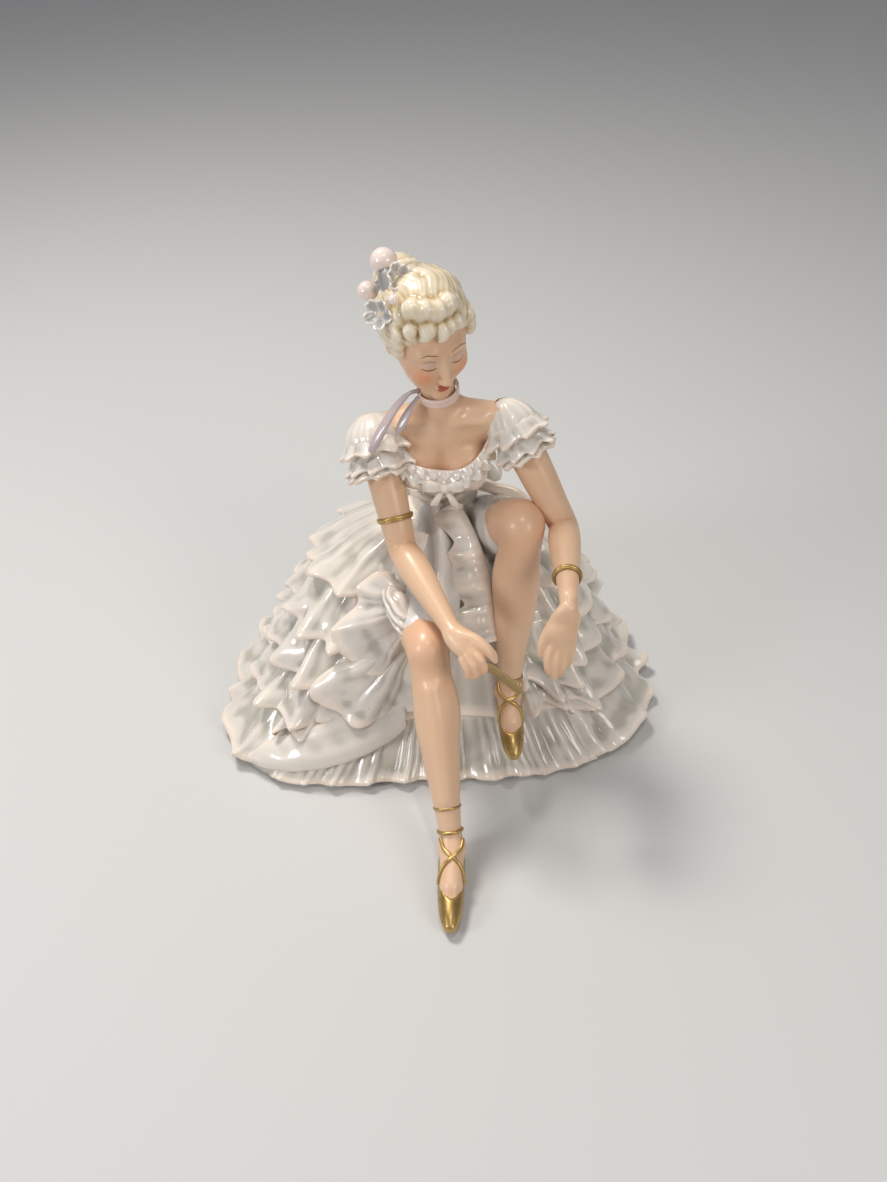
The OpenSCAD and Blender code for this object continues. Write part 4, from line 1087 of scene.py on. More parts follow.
def makeShoe(side):
    ankle, toe = pose["ankle"][side], pose["toe"][side]
    low = np.minimum(ankle, toe) - 13
    high = np.maximum(ankle, toe) + 13
    clay = clayBlock(low, high, 0.4)
    addChain(clay, footRows(side, 0.75), 7)
    way = footSide(side)
    across = vec(1, 0, 0)
    above = unit(np.cross(across, way))
    above = above if above[2] > 0 else -above
    heel = ankle + (vec(0, 4.5, -6) if side == 0 else vec(0, 6, -5.4))
    # the throat of the shoe is cut open over the instep
    long = np.linalg.norm(toe - heel)
    rows = [unit(toe - heel), across, unit(np.cross(toe - heel, across))]
    addBall(clay, mix(heel, toe, 0.36) + above * 6.4, (long * 0.36, 4.6, 6.8), 0.8, rows, cut=True)
    points, faces = skinOf(clay, 2)
    name = "shoeRight" if side == 0 else "shoeLeft"
    piece = addObject(name, meshFrom(name, points, faces))
    finishPiece(piece, goldLustre, ["shoe_right" if side == 0 else "shoe_left"], 2.0, 1.4)


makeBust()
makeBodice()
makeArm(0)
makeArm(1)
makeLeg(0)
makeLeg(1)
makeShoe(0)
makeShoe(1)
print("body shaped")


# ---------- head and hair, in the head's own directions ----------
headPlace = {"at": vec(-6.4, -9, 179.6), "yaw": 27.0, "bow": 18.0, "roll": 8.0}


def headAxes():
    yaw, bow, roll = headPlace["yaw"], headPlace["bow"], headPlace["roll"]
    forward = vec(sinD(yaw) * cosD(bow), -cosD(yaw) * cosD(bow), -sinD(bow))
    side0 = vec(cosD(yaw), sinD(yaw), 0)
    up0 = -np.cross(side0, forward)
    side = side0 * cosD(roll) + up0 * sinD(roll)
    up = up0 * cosD(roll) - side0 * sinD(roll)
    return np.array([side, forward, up])


headTurn = headAxes()


def fromHead(points):
    return headPlace["at"] + np.asarray(points, float) @ headTurn


def makeHead():
    clay = clayBlock((-19, -22, -27), (19, 23, 25), 0.3)
    addBall(clay, (0, -1.5, 5), (13.6, 16.6, 15.6), 0)
    addBall(clay, (0, 4.4, -3.4), (11.4, 11.8, 15.0), 5)
    addBall(clay, (0, 5.6, -12.0), (8.2, 9.0, 7.6), 4)
    addBall(clay, (0, 13.0, -17.6), (3.4, 2.8, 2.9), 3.4)
    for x in (-1, 1):
        addBall(clay, (6.6 * x, 10.6, -6.0), (3.9, 4.0, 4.0), 4)
        addBall(clay, (5.0 * x, 13.7, 4.2), (3.4, 1.4, 1.2), 3.4)
        addBall(clay, (5.3 * x, 17.6, 0.4), (3.2, 2.6, 2.3), 1.6, cut=True)
        addBall(clay, (5.2 * x, 12.5, -0.2), (3.1, 3.0, 2.7), 0.7)
        addCone(clay, (2.6 * x, 15.0, -1.6), (7.4 * x, 13.6, -1.5), 0.42, 0.32, 0.5)
    addCone(clay, (0, 14.8, 3.4), (0, 17.8, -6.6), 1.25, 1.5, 2.0)
    addBall(clay, (0, 18.0, -7.5), (1.7, 1.6, 1.4), 1.2)
    for x in (-1, 1):
        addBall(clay, (1.55 * x, 16.9, -7.9), (1.05, 1.3, 1.0), 0.9)
        addBall(clay, (0.8 * x, 17.1, -9.0), (0.42, 0.7, 0.4), 0.3, cut=True)
        addBall(clay, (1.2 * x, 15.2, -11.8), (2.1, 1.2, 0.8), 0.8)
    addBall(clay, (0, 15.2, -13.4), (2.4, 1.25, 0.9), 0.7)
    addBall(clay, (0, 16.8, -12.55), (3.2, 0.9, 0.18), 0.35, cut=True)
    addBall(clay, (0, 16.8, -15.4), (2.6, 1.0, 0.6), 1.2, cut=True)
    for x in (-1, 1):
        addBall(clay, (13.2 * x, -1.0, -1.5), (1.3, 2.6, 4.0), 1.0)
    points, faces = skinOf(clay, 1)
    x, y, z = points.T
    piece = addObject("headSkin", meshFrom("headSkin", fromHead(points), faces[:, ::-1]))
    mesh = piece.data
    ax = np.abs(x)
    blush = 0.62 * bump(ax - 7.6, 3.4) * bump(z + 5.6, 3.8) * (y > 4)
    blush += 0.25 * bump(ax, 3) * bump(z + 17, 3) * (y > 8)
    setValue(mesh, "blush", np.clip(blush, 0, 1))
    arch = -11.4 + 0.25 * bump(ax - 1.2, 0.8) - 0.035 * ax * ax
    inside = np.clip((arch + 0.75 - z) / 0.4, 0, 1) * np.clip((z + 14.45 - 0.09 * ax * ax) / 0.4, 0, 1)
    setValue(mesh, "lips", inside * np.clip((2.7 - ax) / 0.6, 0, 1) * (y > 12))
    lids = bump(ax - 5.3, 2.6) * bump(z - 0.6, 1.5) * (y > 11)
    setValue(mesh, "lids", 0.55 * lids)
    finishPiece(piece, faceGlaze, ["head"], 1.2, 1.3)
    tree = BVHTree.FromPolygons([Vector(p) for p in points.tolist()], faces.tolist())

    def painted(name, rows):
        # thin painted strokes that lie on the skin; rows give side, height and half width
        allPoints, allFaces = [], []
        for row in rows:
            path = smoothPath(row, 7)
            centre = []
            for s, u, w in path:
                hit = tree.ray_cast(Vector((s, 30, u)), Vector((0, -1, 0)))
                spot = np.array(hit[0]) if hit[0] is not None else vec(s, 14, u)
                centre.append((spot, w))
            start = len(allPoints)
            for i, (spot, w) in enumerate(centre):
                step = unit(centre[min(i + 1, len(centre) - 1)][0] - centre[max(i - 1, 0)][0])
                outward = vec(0.25 * np.sign(spot[0]), 1, 0)
                across = unit(np.cross(step, outward))
                for c in range(6):
                    turn = c * np.pi / 3
                    allPoints.append(spot + across * w * np.cos(turn) + unit(outward) * 0.07 * np.sin(turn))
            count = len(centre)
            for i in range(count - 1):
                for c in range(6):
                    d = (c + 1) % 6
                    allFaces.append((start + i * 6 + c, start + i * 6 + d, start + (i + 1) * 6 + d,
                                     start + (i + 1) * 6 + c))
        return addObject(name, meshFrom(name, fromHead(allPoints), allFaces))
    strokes = []
    for m in (-1, 1):
        strokes.append([(2.5 * m, 4.3, 0.10), (4.4 * m, 5.2, 0.24), (6.6 * m, 5.4, 0.22),
                        (9.0 * m, 4.3, 0.07)])
        strokes.append([(2.9 * m, -1.2, 0.12), (4.3 * m, -1.9, 0.28), (6.0 * m, -1.9, 0.34),
                        (8.0 * m, -1.0, 0.16)])
        strokes.append([(3.2 * m, 1.2, 0.05), (5.2 * m, 2.0, 0.09), (7.6 * m, 1.4, 0.05)])
    piece = painted("browsAndLashes", strokes)
    finishPiece(piece, brownPaint, [], 1, 1)


def onSkull(az, el, off):
    return vec(cosD(el) * sinD(az) * (14 + off), cosD(el) * cosD(az) * (16.4 + off) - 0.6,
               4 + sinD(el) * (17.0 + off))


def makeHair():
    clay = clayBlock((-24, -36, -24), (24, 24, 30), 0.4)
    spans, (x, y, z) = part(clay, (-24, -36, -24), (24, 24, 30))
    near = np.sqrt((x / 15.6) ** 2 + ((y + 1.8) / 18.2) ** 2 + ((z - 4.5) / 17.6) ** 2)
    shell = (near - 1) * 16
    line = -(z - (-2.4 + 0.93 * y)) * 0.73
    d = np.maximum(shell, line)
    h = np.maximum(2.6 - np.abs(shell - line), 0) / 2.6
    press(clay, spans, (d + h * h * 2.6 * 0.25).astype(np.float32), 0)
    # broad waves swept back from the brow to the bun
    for i, az in enumerate(np.linspace(-96, 96, 9)):
        sway = 5 * np.sin(i * 1.9)
        rows = []
        for q, el in enumerate((20 + 24 * cosD(az), 44 + 14 * cosD(az), 64 + 8 * cosD(az), 80)):
            p = onSkull(az * (1 + 0.04 * q) + sway * (q % 2), el, 0.2 + 0.5 * np.sin(i * 2.3 + q))
            rows.append([*p, (2.2, 3.0, 3.0, 2.4)[q]])
        addChain(clay, rows, 5, 2.6)
        rows = []
        for q, el in enumerate((72, 44, 18, -6)):
            p = onSkull(180 - az * (0.55 + 0.06 * q) + sway, el, 0.0)
            rows.append([*p, (2.4, 2.9, 2.9, 2.0)[q]])
        addChain(clay, rows, 5, 2.4)
    # a rolled row of four curls across the crown
    for i, az in enumerate((-50, -26, -3, 20)):
        rows = []
        for q, (da, el, off) in enumerate(((-8, 46, 0.6), (-3, 53, 2.6), (5, 54, 2.8), (10, 47, 0.8))):
            p = onSkull(az + da, el + (1.5 if i % 2 else 0), off)
            rows.append([*p, (2.4, 3.5, 3.4, 2.2)[q]])
        addChain(clay, rows, 6, 0.9)
    # fringe locks at the parting
    for az, top, long, bend in ((-44, 38, 17, -5), (-30, 40, 17, 5), (-17, 41, 12, -5), (-5, 41, 20, 5),
                                (8, 40, 12, 4), (20, 39, 10, 5)):
        rows = []
        for q in range(4):
            el = top - long * q / 3
            p = onSkull(az + bend * np.sin(q * 1.2), el, (0.8, 1.8, 1.4, 0.5)[q])
            rows.append([*p, (2.0, 2.5, 2.0, 0.7)[q]])
        addChain(clay, rows, 6, 0.7)
    # small curls at the temples
    for m in (-1, 1):
        for el in (18, 8, -2):
            rows = []
            for q, (da, de, off) in enumerate(((6, 6, 0.2), (-3, 3, 1.0), (-6, -2, 1.1), (-1, -5, 0.4))):
                p = onSkull((70 + da) * m, el + de, off)
                rows.append([*p, (1.6, 2.3, 2.2, 1.2)[q]])
            addChain(clay, rows, 6, 0.8)
    # the bun at the back, coiled
    centre = vec(0, -23.5, 5.5)
    addBall(clay, centre, (8.8, 7.0, 8.6), 2.5)
    for ring, (r, y0) in enumerate(((8.0, -20.5), (6.4, -25.5), (3.4, -29.0))):
        turns = np.linspace(0, 2 * np.pi, 13)
        rows = [[r * np.cos(q + ring), y0 - 0.5 * np.sin(3 * q), 5.5 + r * np.sin(q + ring),
                 2.1] for q in turns]
        addChain(clay, rows, 4, 0.6)
    points, faces = skinOf(clay, 2)
    x, y, z = points.T
    flow = 40 * np.arctan2(x, np.abs(z - 4) + 9) + 2.2 * np.sin(0.33 * y + 0.2 * z)
    strand = 0.6 * np.sin(flow) + 0.4 * np.sin(2.3 * flow + 1.7)
    radial = points - vec(0, -1.8, 5)
    radial /= np.linalg.norm(radial, axis=1, keepdims=True)
    points = points + radial * (0.17 * strand)[:, None]
    piece = addObject("hair", meshFrom("hair", fromHead(points), faces[:, ::-1]))
    finishPiece(piece, hairGlaze, ["hair_cap", "hair_roll", "fringe", "temple_curls_right",
                                                 "temple_curls_left", "chignon"], 1.8, 0.9)


def makeOrnament():
    ball, small = middle("hair_ball_large"), middle("hair_ball_small")
    stemFoot = ball + vec(3.6, -9.6, -8.4)
    clay = clayBlock(np.minimum(ball, small) - vec(14, 16, 16), np.maximum(ball, small) + vec(18, 12, 9),
                     0.35)
    addChain(clay, [point(stemFoot + vec(0.8, -1.6, -3), 2.6), point(stemFoot, 3.5),
                    point(mix(stemFoot, ball, 0.55), 3.0), point(ball + vec(0.4, 0, -2.6), 3.6)], 6)
    addChain(clay, [point(mix(stemFoot, ball, 0.4), 2.6), point(small + vec(2.6, 0.4, 0.6), 2.0)], 6, 1.0)
    for i in range(7):
        turn = i * 2 * np.pi / 7
        addCone(clay, stemFoot + vec(2.6 * np.cos(turn), 2.6 * np.sin(turn), -3), mix(stemFoot, ball, 0.7)
                + vec(2.9 * np.cos(turn), 2.9 * np.sin(turn), 0), 0.7, 0.8, 0.6)
    points, faces = skinOf(clay, 1)
    piece = addObject("hairStem", meshFrom("hairStem", points, faces))
    finishPiece(piece, shadedStemGlaze, ["hair_stem"], 1.2, 0.8)
    for name, node, radius in (("hairBallLarge", "hair_ball_large", 4.75),
                               ("hairBallSmall", "hair_ball_small", 3.7),
                               ("hairPearl", "hair_pearl", 1.75)):
        centre = middle(node)
        clay = clayBlock(centre - radius - 1.5, centre + radius + 1.5, radius / 13)
        addBall(clay, centre, (radius, radius, radius * 0.97), 0)
        points, faces = skinOf(clay, 2)
        piece = addObject(name, meshFrom(name, points, faces))
        finishPiece(piece, pinkishWhite, [node], 1, 6)


makeHead()
makeHair()
makeOrnament()
print("head and hair made")


# ---------- petals: a tree that sets one petal round a stem ----------
def makePetalTree():
    tree = bpy.data.node_groups.new("petalRing", "GeometryNodeTree")
    sockets = tree.interface
    sockets.new_socket("Petal", in_out="INPUT", socket_type="NodeSocketGeometry")
    sockets.new_socket("Count", in_out="INPUT", socket_type="NodeSocketInt").default_value = 6
    sockets.new_socket("Radius", in_out="INPUT", socket_type="NodeSocketFloat").default_value = 0.002
    sockets.new_socket("Opening", in_out="INPUT", socket_type="NodeSocketFloat").default_value = 0.5
    sockets.new_socket("Seed", in_out="INPUT", socket_type="NodeSocketInt").default_value = 3
    sockets.new_socket("Glaze", in_out="INPUT", socket_type="NodeSocketMaterial")
    sockets.new_socket("Ring", in_out="OUTPUT", socket_type="NodeSocketGeometry")
    given = tree.nodes.new("NodeGroupInput").outputs
    made = tree.nodes.new("NodeGroupOutput")
    ring = tree.nodes.new("GeometryNodeMeshCircle")
    tree.links.new(given["Count"], ring.inputs["Vertices"])
    tree.links.new(given["Radius"], ring.inputs["Radius"])
    index = tree.nodes.new("GeometryNodeInputIndex").outputs[0]
    angle = mathNode(tree, "DIVIDE", mathNode(tree, "MULTIPLY", index, 2 * math.pi), given["Count"])
    chance = tree.nodes.new("FunctionNodeRandomValue")
    chance.data_type = "FLOAT"
    chance.inputs[2].default_value = -0.16
    chance.inputs[3].default_value = 0.16
    tree.links.new(given["Seed"], chance.inputs["Seed"])
    turn = tree.nodes.new("ShaderNodeCombineXYZ")
    tree.links.new(mathNode(tree, "ADD", given["Opening"], chance.outputs[1]), turn.inputs[1])
    tree.links.new(angle, turn.inputs[2])
    copies = tree.nodes.new("GeometryNodeInstanceOnPoints")
    tree.links.new(ring.outputs["Mesh"], copies.inputs["Points"])
    tree.links.new(given["Petal"], copies.inputs["Instance"])
    tree.links.new(turn.outputs[0], copies.inputs["Rotation"])
    real = tree.nodes.new("GeometryNodeRealizeInstances")
    tree.links.new(copies.outputs["Instances"], real.inputs["Geometry"])
    paint = tree.nodes.new("GeometryNodeSetMaterial")
    tree.links.new(real.outputs["Geometry"], paint.inputs["Geometry"])
    tree.links.new(given["Glaze"], paint.inputs["Material"])
    tree.links.new(paint.outputs["Geometry"], made.inputs["Ring"])
    return tree


petalTree = makePetalTree()


def petalMesh(name, long, wide, cup):
    n, m = 9, 7
    rows = []
    for i in range(n):
        t = i / (n - 1)
        half = wide * math.sin(math.pi * min(0.12 + 0.8 * t, 0.97)) ** 0.7
        for j in range(m):
            s = 2 * j / (m - 1) - 1
            rows.append((long * t, half * s, cup * (t * t * 0.6 + 0.8 * s * s * (0.3 + t))))
    faces = [(i * m + j, (i + 1) * m + j, (i + 1) * m + j + 1, i * m + j + 1) for i in range(n - 1) for j in
             range(m - 1)]
    return meshFrom(name, rows, faces)


def makePetals():
    at = middle("hair_petals")
    for name, spot, way, count, long, wide, cup, opening in (
            ("petalsUpper", at + vec(5.6, -9.4, 4.6), vec(0.35, -0.7, 0.6), 6, 4.4, 2.0, 1.2, -0.45),
            ("petalsLower", at + vec(-0.6, -15.0, -5.4), vec(-0.35, -0.85, 0.35), 5, 4.6, 2.2, 1.2, -0.35)):
        piece = addObject(name, petalMesh(name, long, wide, cup))
        ring = piece.modifiers.new("ring", "NODES")
        ring.node_group = petalTree
        setInputs(ring, petalTree, {"Count": count, "Radius": 0.9 * mm, "Opening": opening, "Seed": 4,
                                    "Glaze": greyGlaze})
        wall = piece.modifiers.new("wall", "SOLIDIFY")
        wall.thickness = 0.8 * mm
        soft = piece.modifiers.new("soft", "SUBSURF")
        soft.levels = soft.render_levels = 1
        settled(piece)
        z = unit(way)
        x = unit(np.cross(vec(0.2, 0.3, 1), z))
        y = np.cross(z, x)
        points = verticesOf(piece.data)
        points = spot + points[:, :1] * x + points[:, 1:2] * y + points[:, 2:] * z
        piece.data.vertices.foreach_set("co", (points * mm).astype(np.float32).ravel())
        piece.data.update()
        finishPiece(piece, greyGlaze, ["hair_petals"], 1.2, 0.8)


makePetals()


# ---------- sleeves, neckline and bows ----------
def sleeveFrame(side):
    way = unit(pose["elbow"][side] - pose["shoulder"][side])
    x = unit(np.cross(vec(0, 1, 0.3), way))
    return x, np.cross(way, x), way


sleeves = {"puff": [12.0, 9.6], "frillFrom": [10.6, 8.6], "wall": 1.5}


def makeSleeve(side):
    x, y, way = sleeveFrame(side)
    shoulder = pose["shoulder"][side]
    name = "Right" if side == 0 else "Left"
    node = "right" if side == 0 else "left"
    r = sleeves["puff"][side]
    top = shoulder - way * (8.5 if side == 0 else 8)

    def puff(s, t):
        a = 2 * np.pi * s
        w = r * np.sin(np.pi * (0.0005 + 0.77 * t)) ** 0.55
        down = 16.5 * t
        return (top + way * down[..., None] + x * (w * np.cos(a))[...,
                None] + y * (w * 0.94 * np.sin(a))[...,
                        None])
    look = {"Fold length": 12.0, "Fold height": 0.7, "Lean": 0.9, "Droop": 0.0, "Roll out": -0.6,
            "Unevenness": 0.5,
            "Softness": 0.9, "Lumps": 2.0,
            "Gather": 0.4, "Seed": 81.0 + side, "wall": 1.4, "measureAtEdge": False, "flip": True}
    ruffled("sleevePuff" + name, puff, (96, 22), look, whiteGlaze, ["sleeve_" + node],
            closed=True)
    rows = (("sleeveFrill", 1.0, 6.4, "sleeve_frill_"), ("cuffFrill", 7.0, 6.6, "cuff_frill_"),
            ("lastFrill", 11.5, 4.6, None))
    for k, (piece, start, long, target) in enumerate(rows):
        def frill(s, t, start=start, long=long, k=k):
            a = 2 * np.pi * s
            w = sleeves["frillFrom"][side] - 0.7 * k + 2.7 * t ** 0.8
            down = start + long * t - 0.4
            return (shoulder + way * down[..., None] + x * (w * np.cos(a))[..., None]
                    + y * (w * 0.94 * np.sin(a))[..., None])
        look = {"Fold length": 8.4 - 0.5 * k, "Fold height": 1.3, "Lean": 1.9, "Droop": 1.0, "Roll out": 1.0,
                "Unevenness": 0.35, "Gather": 0.1, "Softness": 0.9, "Lumps": 2.0,
                "Seed": 85.0 + 3 * side + k, "wall": 1.9, "reach": 1.2,
                "depth": 0.55, "flip": True}
        ruffled(piece + name, frill, (190, 10), look, whiteGlaze,
                [target + node] if target else [],
                closed=True)


neckPath = [(-20.5, 1, 138), (-21.5, -4.5, 135), (-18.5, -11, 131), (-13.5, -16.2, 127.8),
            (-8.6, -18.2, 126.4),
            (-3.4, -17.4, 124.8), (0.6, -17.0, 124.2), (4.4, -18.0, 125), (8.6, -18.8, 127), (13.0, -16.6,
                    129.6),
            (17.0, -11.6, 133.4), (18.6, -6, 138)]


def makeNeckline():
    path = smoothPath(neckPath, 10)
    for k, (rise, out, long, seed) in enumerate(((-0.6, 0.3, 4.6, 91.0), (1.6, -0.6, 2.8, 93.0))):
        def band(s, t, rise=rise, out=out, long=long):
            spots = s[:, 0] * (len(path) - 1)
            base = np.stack([np.interp(spots, np.arange(len(path)), path[:, c]) for c in range(3)], -1)[:,
                    None, :]
            away = base - vec(-0.6, -2, 0)
            away[..., 2] = 0
            away /= np.linalg.norm(away, axis=2, keepdims=True)
            drop = (rise + 1.2 - long * t)[..., None] * vec(0, 0, 1)
            return base + away * (out - 0.6 + 1.5 * np.sin(t * 2.2))[..., None] + drop
        look = {"Fold length": 5.2 - 0.6 * k, "Fold height": 0.95, "Lean": 1.1, "Droop": 0.6,
                "Roll out": 0.6,
                "Unevenness": 0.35, "Gather": 0.1, "Softness": 1.0, "Seed": seed, "wall": 1.5,
                "reach": 0.9, "depth": 0.45}
        ruffled("necklineRuffle" if k == 0 else "necklineEdge", band, (360, 9), look, whiteGlaze,
                ["neckline_ruffle"] if k == 0 else [])


def bowShape(name, centre, x, y, z, size, material, nodes, tails=True):
    # two folded loops, a knot and two tails; x runs across, y outwards and z up
    def at(a, b, c):
        return centre + (x * a + y * b + z * c) * size
    clay = clayBlock(centre - 3.4 * size * 3, centre + 3.4 * size * 3, 0.3 * max(size, 1))
    for m in (-1, 1):
        for j in (-1, 0, 1):
            addChain(clay, [point(at(0.4 * m, 0.2, 0.2 * j), 0.6 * size),
                            point(at(2.2 * m, 1.0, 0.6 + 0.75 * j),
                            0.75 * size), point(at(4.0 * m, 0.9, 0.8 + 0.95 * j), 0.8 * size),
                            point(at(5.2 * m, 0.0, 0.4 + 0.5 * j), 0.6 * size)], 5, 0.5 * size)
        if tails:
            for j in (0, 1):
                addChain(clay, [point(at(0.3 * m, 0.3, -0.4), 0.55 * size),
                                point(at((1.4 + 0.5 * j) * m, 0.6, -2.8),
                                0.7 * size), point(at((2.2 + 1.0 * j) * m, 0.2, -5.2),
                                                   0.62 * size)], 5, 0.5 * size)
    addBall(clay, at(0, 0.9, 0), (1.25 * size, 1.0 * size, 1.3 * size), 0.4 * size)
    points, faces = skinOf(clay, 1)
    piece = addObject(name, meshFrom(name, points, faces))
    return finishPiece(piece, material, nodes, 1.2 * size ** 0.5, 0.7)


def makeBows():
    bowShape("bodiceBow", vec(0.4, -18.6, 121.0), vec(1, 0, 0), vec(0, -1, 0.1), vec(0, 0, 1), 1.45,
             whiteGlaze, ["bodice_bow"])
    bowShape("backBow", np.array(middle("back_bow")) * vec(1, 0, 0) + vec(0, 19, 101.5), vec(1, 0, 0),
             vec(0, 1, 0.2),
             vec(0, -0.35, 0.94), 4.2, greyGlaze, ["back_bow"])


makeSleeve(0)
makeSleeve(1)
makeNeckline()
makeBows()
print("sleeves, neckline and bows made")


# ---------- ribbons and rings ----------
def ribbon(name, rows, thick, sideStart, sideEnd, material, nodes):
    # a flat band through rows of x, y, z and half width, turning from sideStart to sideEnd
    path = smoothPath(rows, 8)
    corners = 10
    points = []
    count = len(path)
    for i, row in enumerate(path):
        step = unit(path[min(i + 1, count - 1)][:3] - path[max(i - 1, 0)][:3])
        wish = unit(mix(sideStart, sideEnd, i / (count - 1)))
        across = unit(wish - step * (wish @ step))
        out = np.cross(step, across)
        for c in range(corners):
            a = 2 * np.pi * c / corners
            points.append(row[:3] + across * row[3] * np.cos(a) + out * thick * np.sin(a))
    faces = []
    for i in range(count - 1):
        for c in range(corners):
            d = (c + 1) % corners
            here, after = i * corners, (i + 1) * corners
            faces.append((here + c, after + c, after + d, here + d))
    faces.append(tuple(range(corners)))
    faces.append(tuple(len(points) - 1 - c for c in range(corners)))
    mesh = bpy.data.meshes.new(name)
    mesh.from_pydata((np.array(points) * mm).tolist(), [], faces)
    piece = addObject(name, mesh)
    fixNormals(piece)
    return finishPiece(piece, material, nodes, 0.8, 0.6)


def fixNormals(piece):
    work = bmesh.new()
    work.from_mesh(piece.data)
    bmesh.ops.recalc_face_normals(work, faces=work.faces)
    work.to_mesh(piece.data)
    work.free()


def makeRingTree():
    # sweeps a round wire along the edges of a guide
    tree = bpy.data.node_groups.new("wireAlong", "GeometryNodeTree")
    sockets = tree.interface
    sockets.new_socket("Guide", in_out="INPUT", socket_type="NodeSocketGeometry")
    sockets.new_socket("Wire radius", in_out="INPUT", socket_type="NodeSocketFloat").default_value = 0.0008
    sockets.new_socket("Flatness", in_out="INPUT", socket_type="NodeSocketFloat").default_value = 1.0
    sockets.new_socket("Glaze", in_out="INPUT", socket_type="NodeSocketMaterial")
    sockets.new_socket("Wire", in_out="OUTPUT", socket_type="NodeSocketGeometry")
    given = tree.nodes.new("NodeGroupInput").outputs
    made = tree.nodes.new("NodeGroupOutput")
    line = tree.nodes.new("GeometryNodeMeshToCurve")
    tree.links.new(given["Guide"], line.inputs["Mesh"])
    profile = tree.nodes.new("GeometryNodeCurvePrimitiveCircle")
    profile.inputs["Resolution"].default_value = 12
    tree.links.new(given["Wire radius"], profile.inputs["Radius"])
    shape = tree.nodes.new("GeometryNodeTransform")
    scale = tree.nodes.new("ShaderNodeCombineXYZ")
    scale.inputs[0].default_value = 1.0
    scale.inputs[2].default_value = 1.0
    tree.links.new(given["Flatness"], scale.inputs[1])
    tree.links.new(profile.outputs["Curve"], shape.inputs["Geometry"])
    tree.links.new(scale.outputs[0], shape.inputs["Scale"])
    sweep = tree.nodes.new("GeometryNodeCurveToMesh")
    tree.links.new(line.outputs["Curve"], sweep.inputs["Curve"])
    tree.links.new(shape.outputs["Geometry"], sweep.inputs["Profile Curve"])
    real = tree.nodes.new("GeometryNodeRealizeInstances")
    tree.links.new(sweep.outputs["Mesh"], real.inputs["Geometry"])
    paint = tree.nodes.new("GeometryNodeSetMaterial")
    tree.links.new(real.outputs["Geometry"], paint.inputs["Geometry"])
    tree.links.new(given["Glaze"], paint.inputs["Material"])
    tree.links.new(paint.outputs["Geometry"], made.inputs["Wire"])
    return tree


ringTree = makeRingTree()


def ring(name, centre, way, radius, wire, flat, material, slotName, nodes, squash=1.0):
    way = unit(way)
    x = unit(np.cross(way, vec(0.1, 0.2, 1)))
    y = np.cross(way, x)
    turns = np.linspace(0, 2 * np.pi, 64, endpoint=False)
    points = [centre + x * radius * math.cos(q) + y * radius * squash * math.sin(q) for q in turns]
    mesh = bpy.data.meshes.new(name)
    edges = [(i, (i + 1) % 64) for i in range(64)]
    mesh.from_pydata((np.array(points) * mm).tolist(), edges, [])
    piece = addObject(name, mesh)
    sweep = piece.modifiers.new("sweep", "NODES")
    sweep.node_group = ringTree
    setInputs(sweep, ringTree, {"Wire radius": wire * mm, "Flatness": flat, "Glaze": material})
    settled(piece)
    fixNormals(piece)
    return finishPiece(piece, material, nodes, 0.8, 0.6)


def makeRings():
    for name, node, a, b, radius, flat in (
            ("armbandRing", "armband", pose["shoulder"][0], pose["elbow"][0], 6.45, 1.0),
            ("braceletRing", "bracelet", pose["elbow"][1], pose["wrist"][1], 4.85, 1.0)):
        centre = middle(node)
        ring(name, centre, b - a, radius, 0.78, flat, goldLustre, "gold_lustre", [node])
        ring(name + "Edge", centre + unit(b - a) * 0.9, b - a, radius, 0.5, flat, goldLustre,
             "gold_lustre", [])
    shin = pose["knee"][0] - pose["ankle"][0]
    for name, t, r, nodes in (("ankleBandUpper", 0.205, 4.75, ["ankle_band_right"]),
                              ("ankleBandLower", 0.085, 4.5, [])):
        ring(name, mix(pose["ankle"][0], pose["knee"][0], t), shin, r, 0.75, 1.0, goldLustre,
             "gold_lustre", nodes)
    shin = pose["knee"][1] - pose["ankle"][1]
    ring("ankleBandLeft", mix(pose["ankle"][1], pose["knee"][1], 0.10), shin, 4.8, 0.7, 1.0, goldLustre,
         "gold_lustre", [])


def laidOnFoot(side, rows, half):
    # the path pressed onto the skin of the foot, a little proud of it
    ankle, toe = pose["ankle"][side], pose["toe"][side]
    long = toe - ankle
    laid = []
    for row in smoothPath([ankle + vec(*r) for r in rows], 4):
        t = np.clip((row - ankle) @ long / (long @ long), 0, 1)
        away = unit(row - (ankle + long * t + vec(0, 0, -1.5)))
        hit = legSkins[side].ray_cast(Vector(row + away * 14), Vector(-away))[0]
        spot = row if hit is None else np.array(hit) + away * 0.35
        laid.append([*spot, half])
    return laid


ankleCross = [
    [(4.8, 0.4, 5.4), (3.8, -3.4, 4.6), (0, -7.0, 2.4), (-3.8, -10.6, -0.4), (-5.0, -13.5, -4.6)],
    [(4.8, -0.2, 5.6), (3.8, -3.6, 3.0), (0, -6.6, -0.6), (-4.0, -8.8, -4.2), (-5.0, -10.2, -8.0)],
]


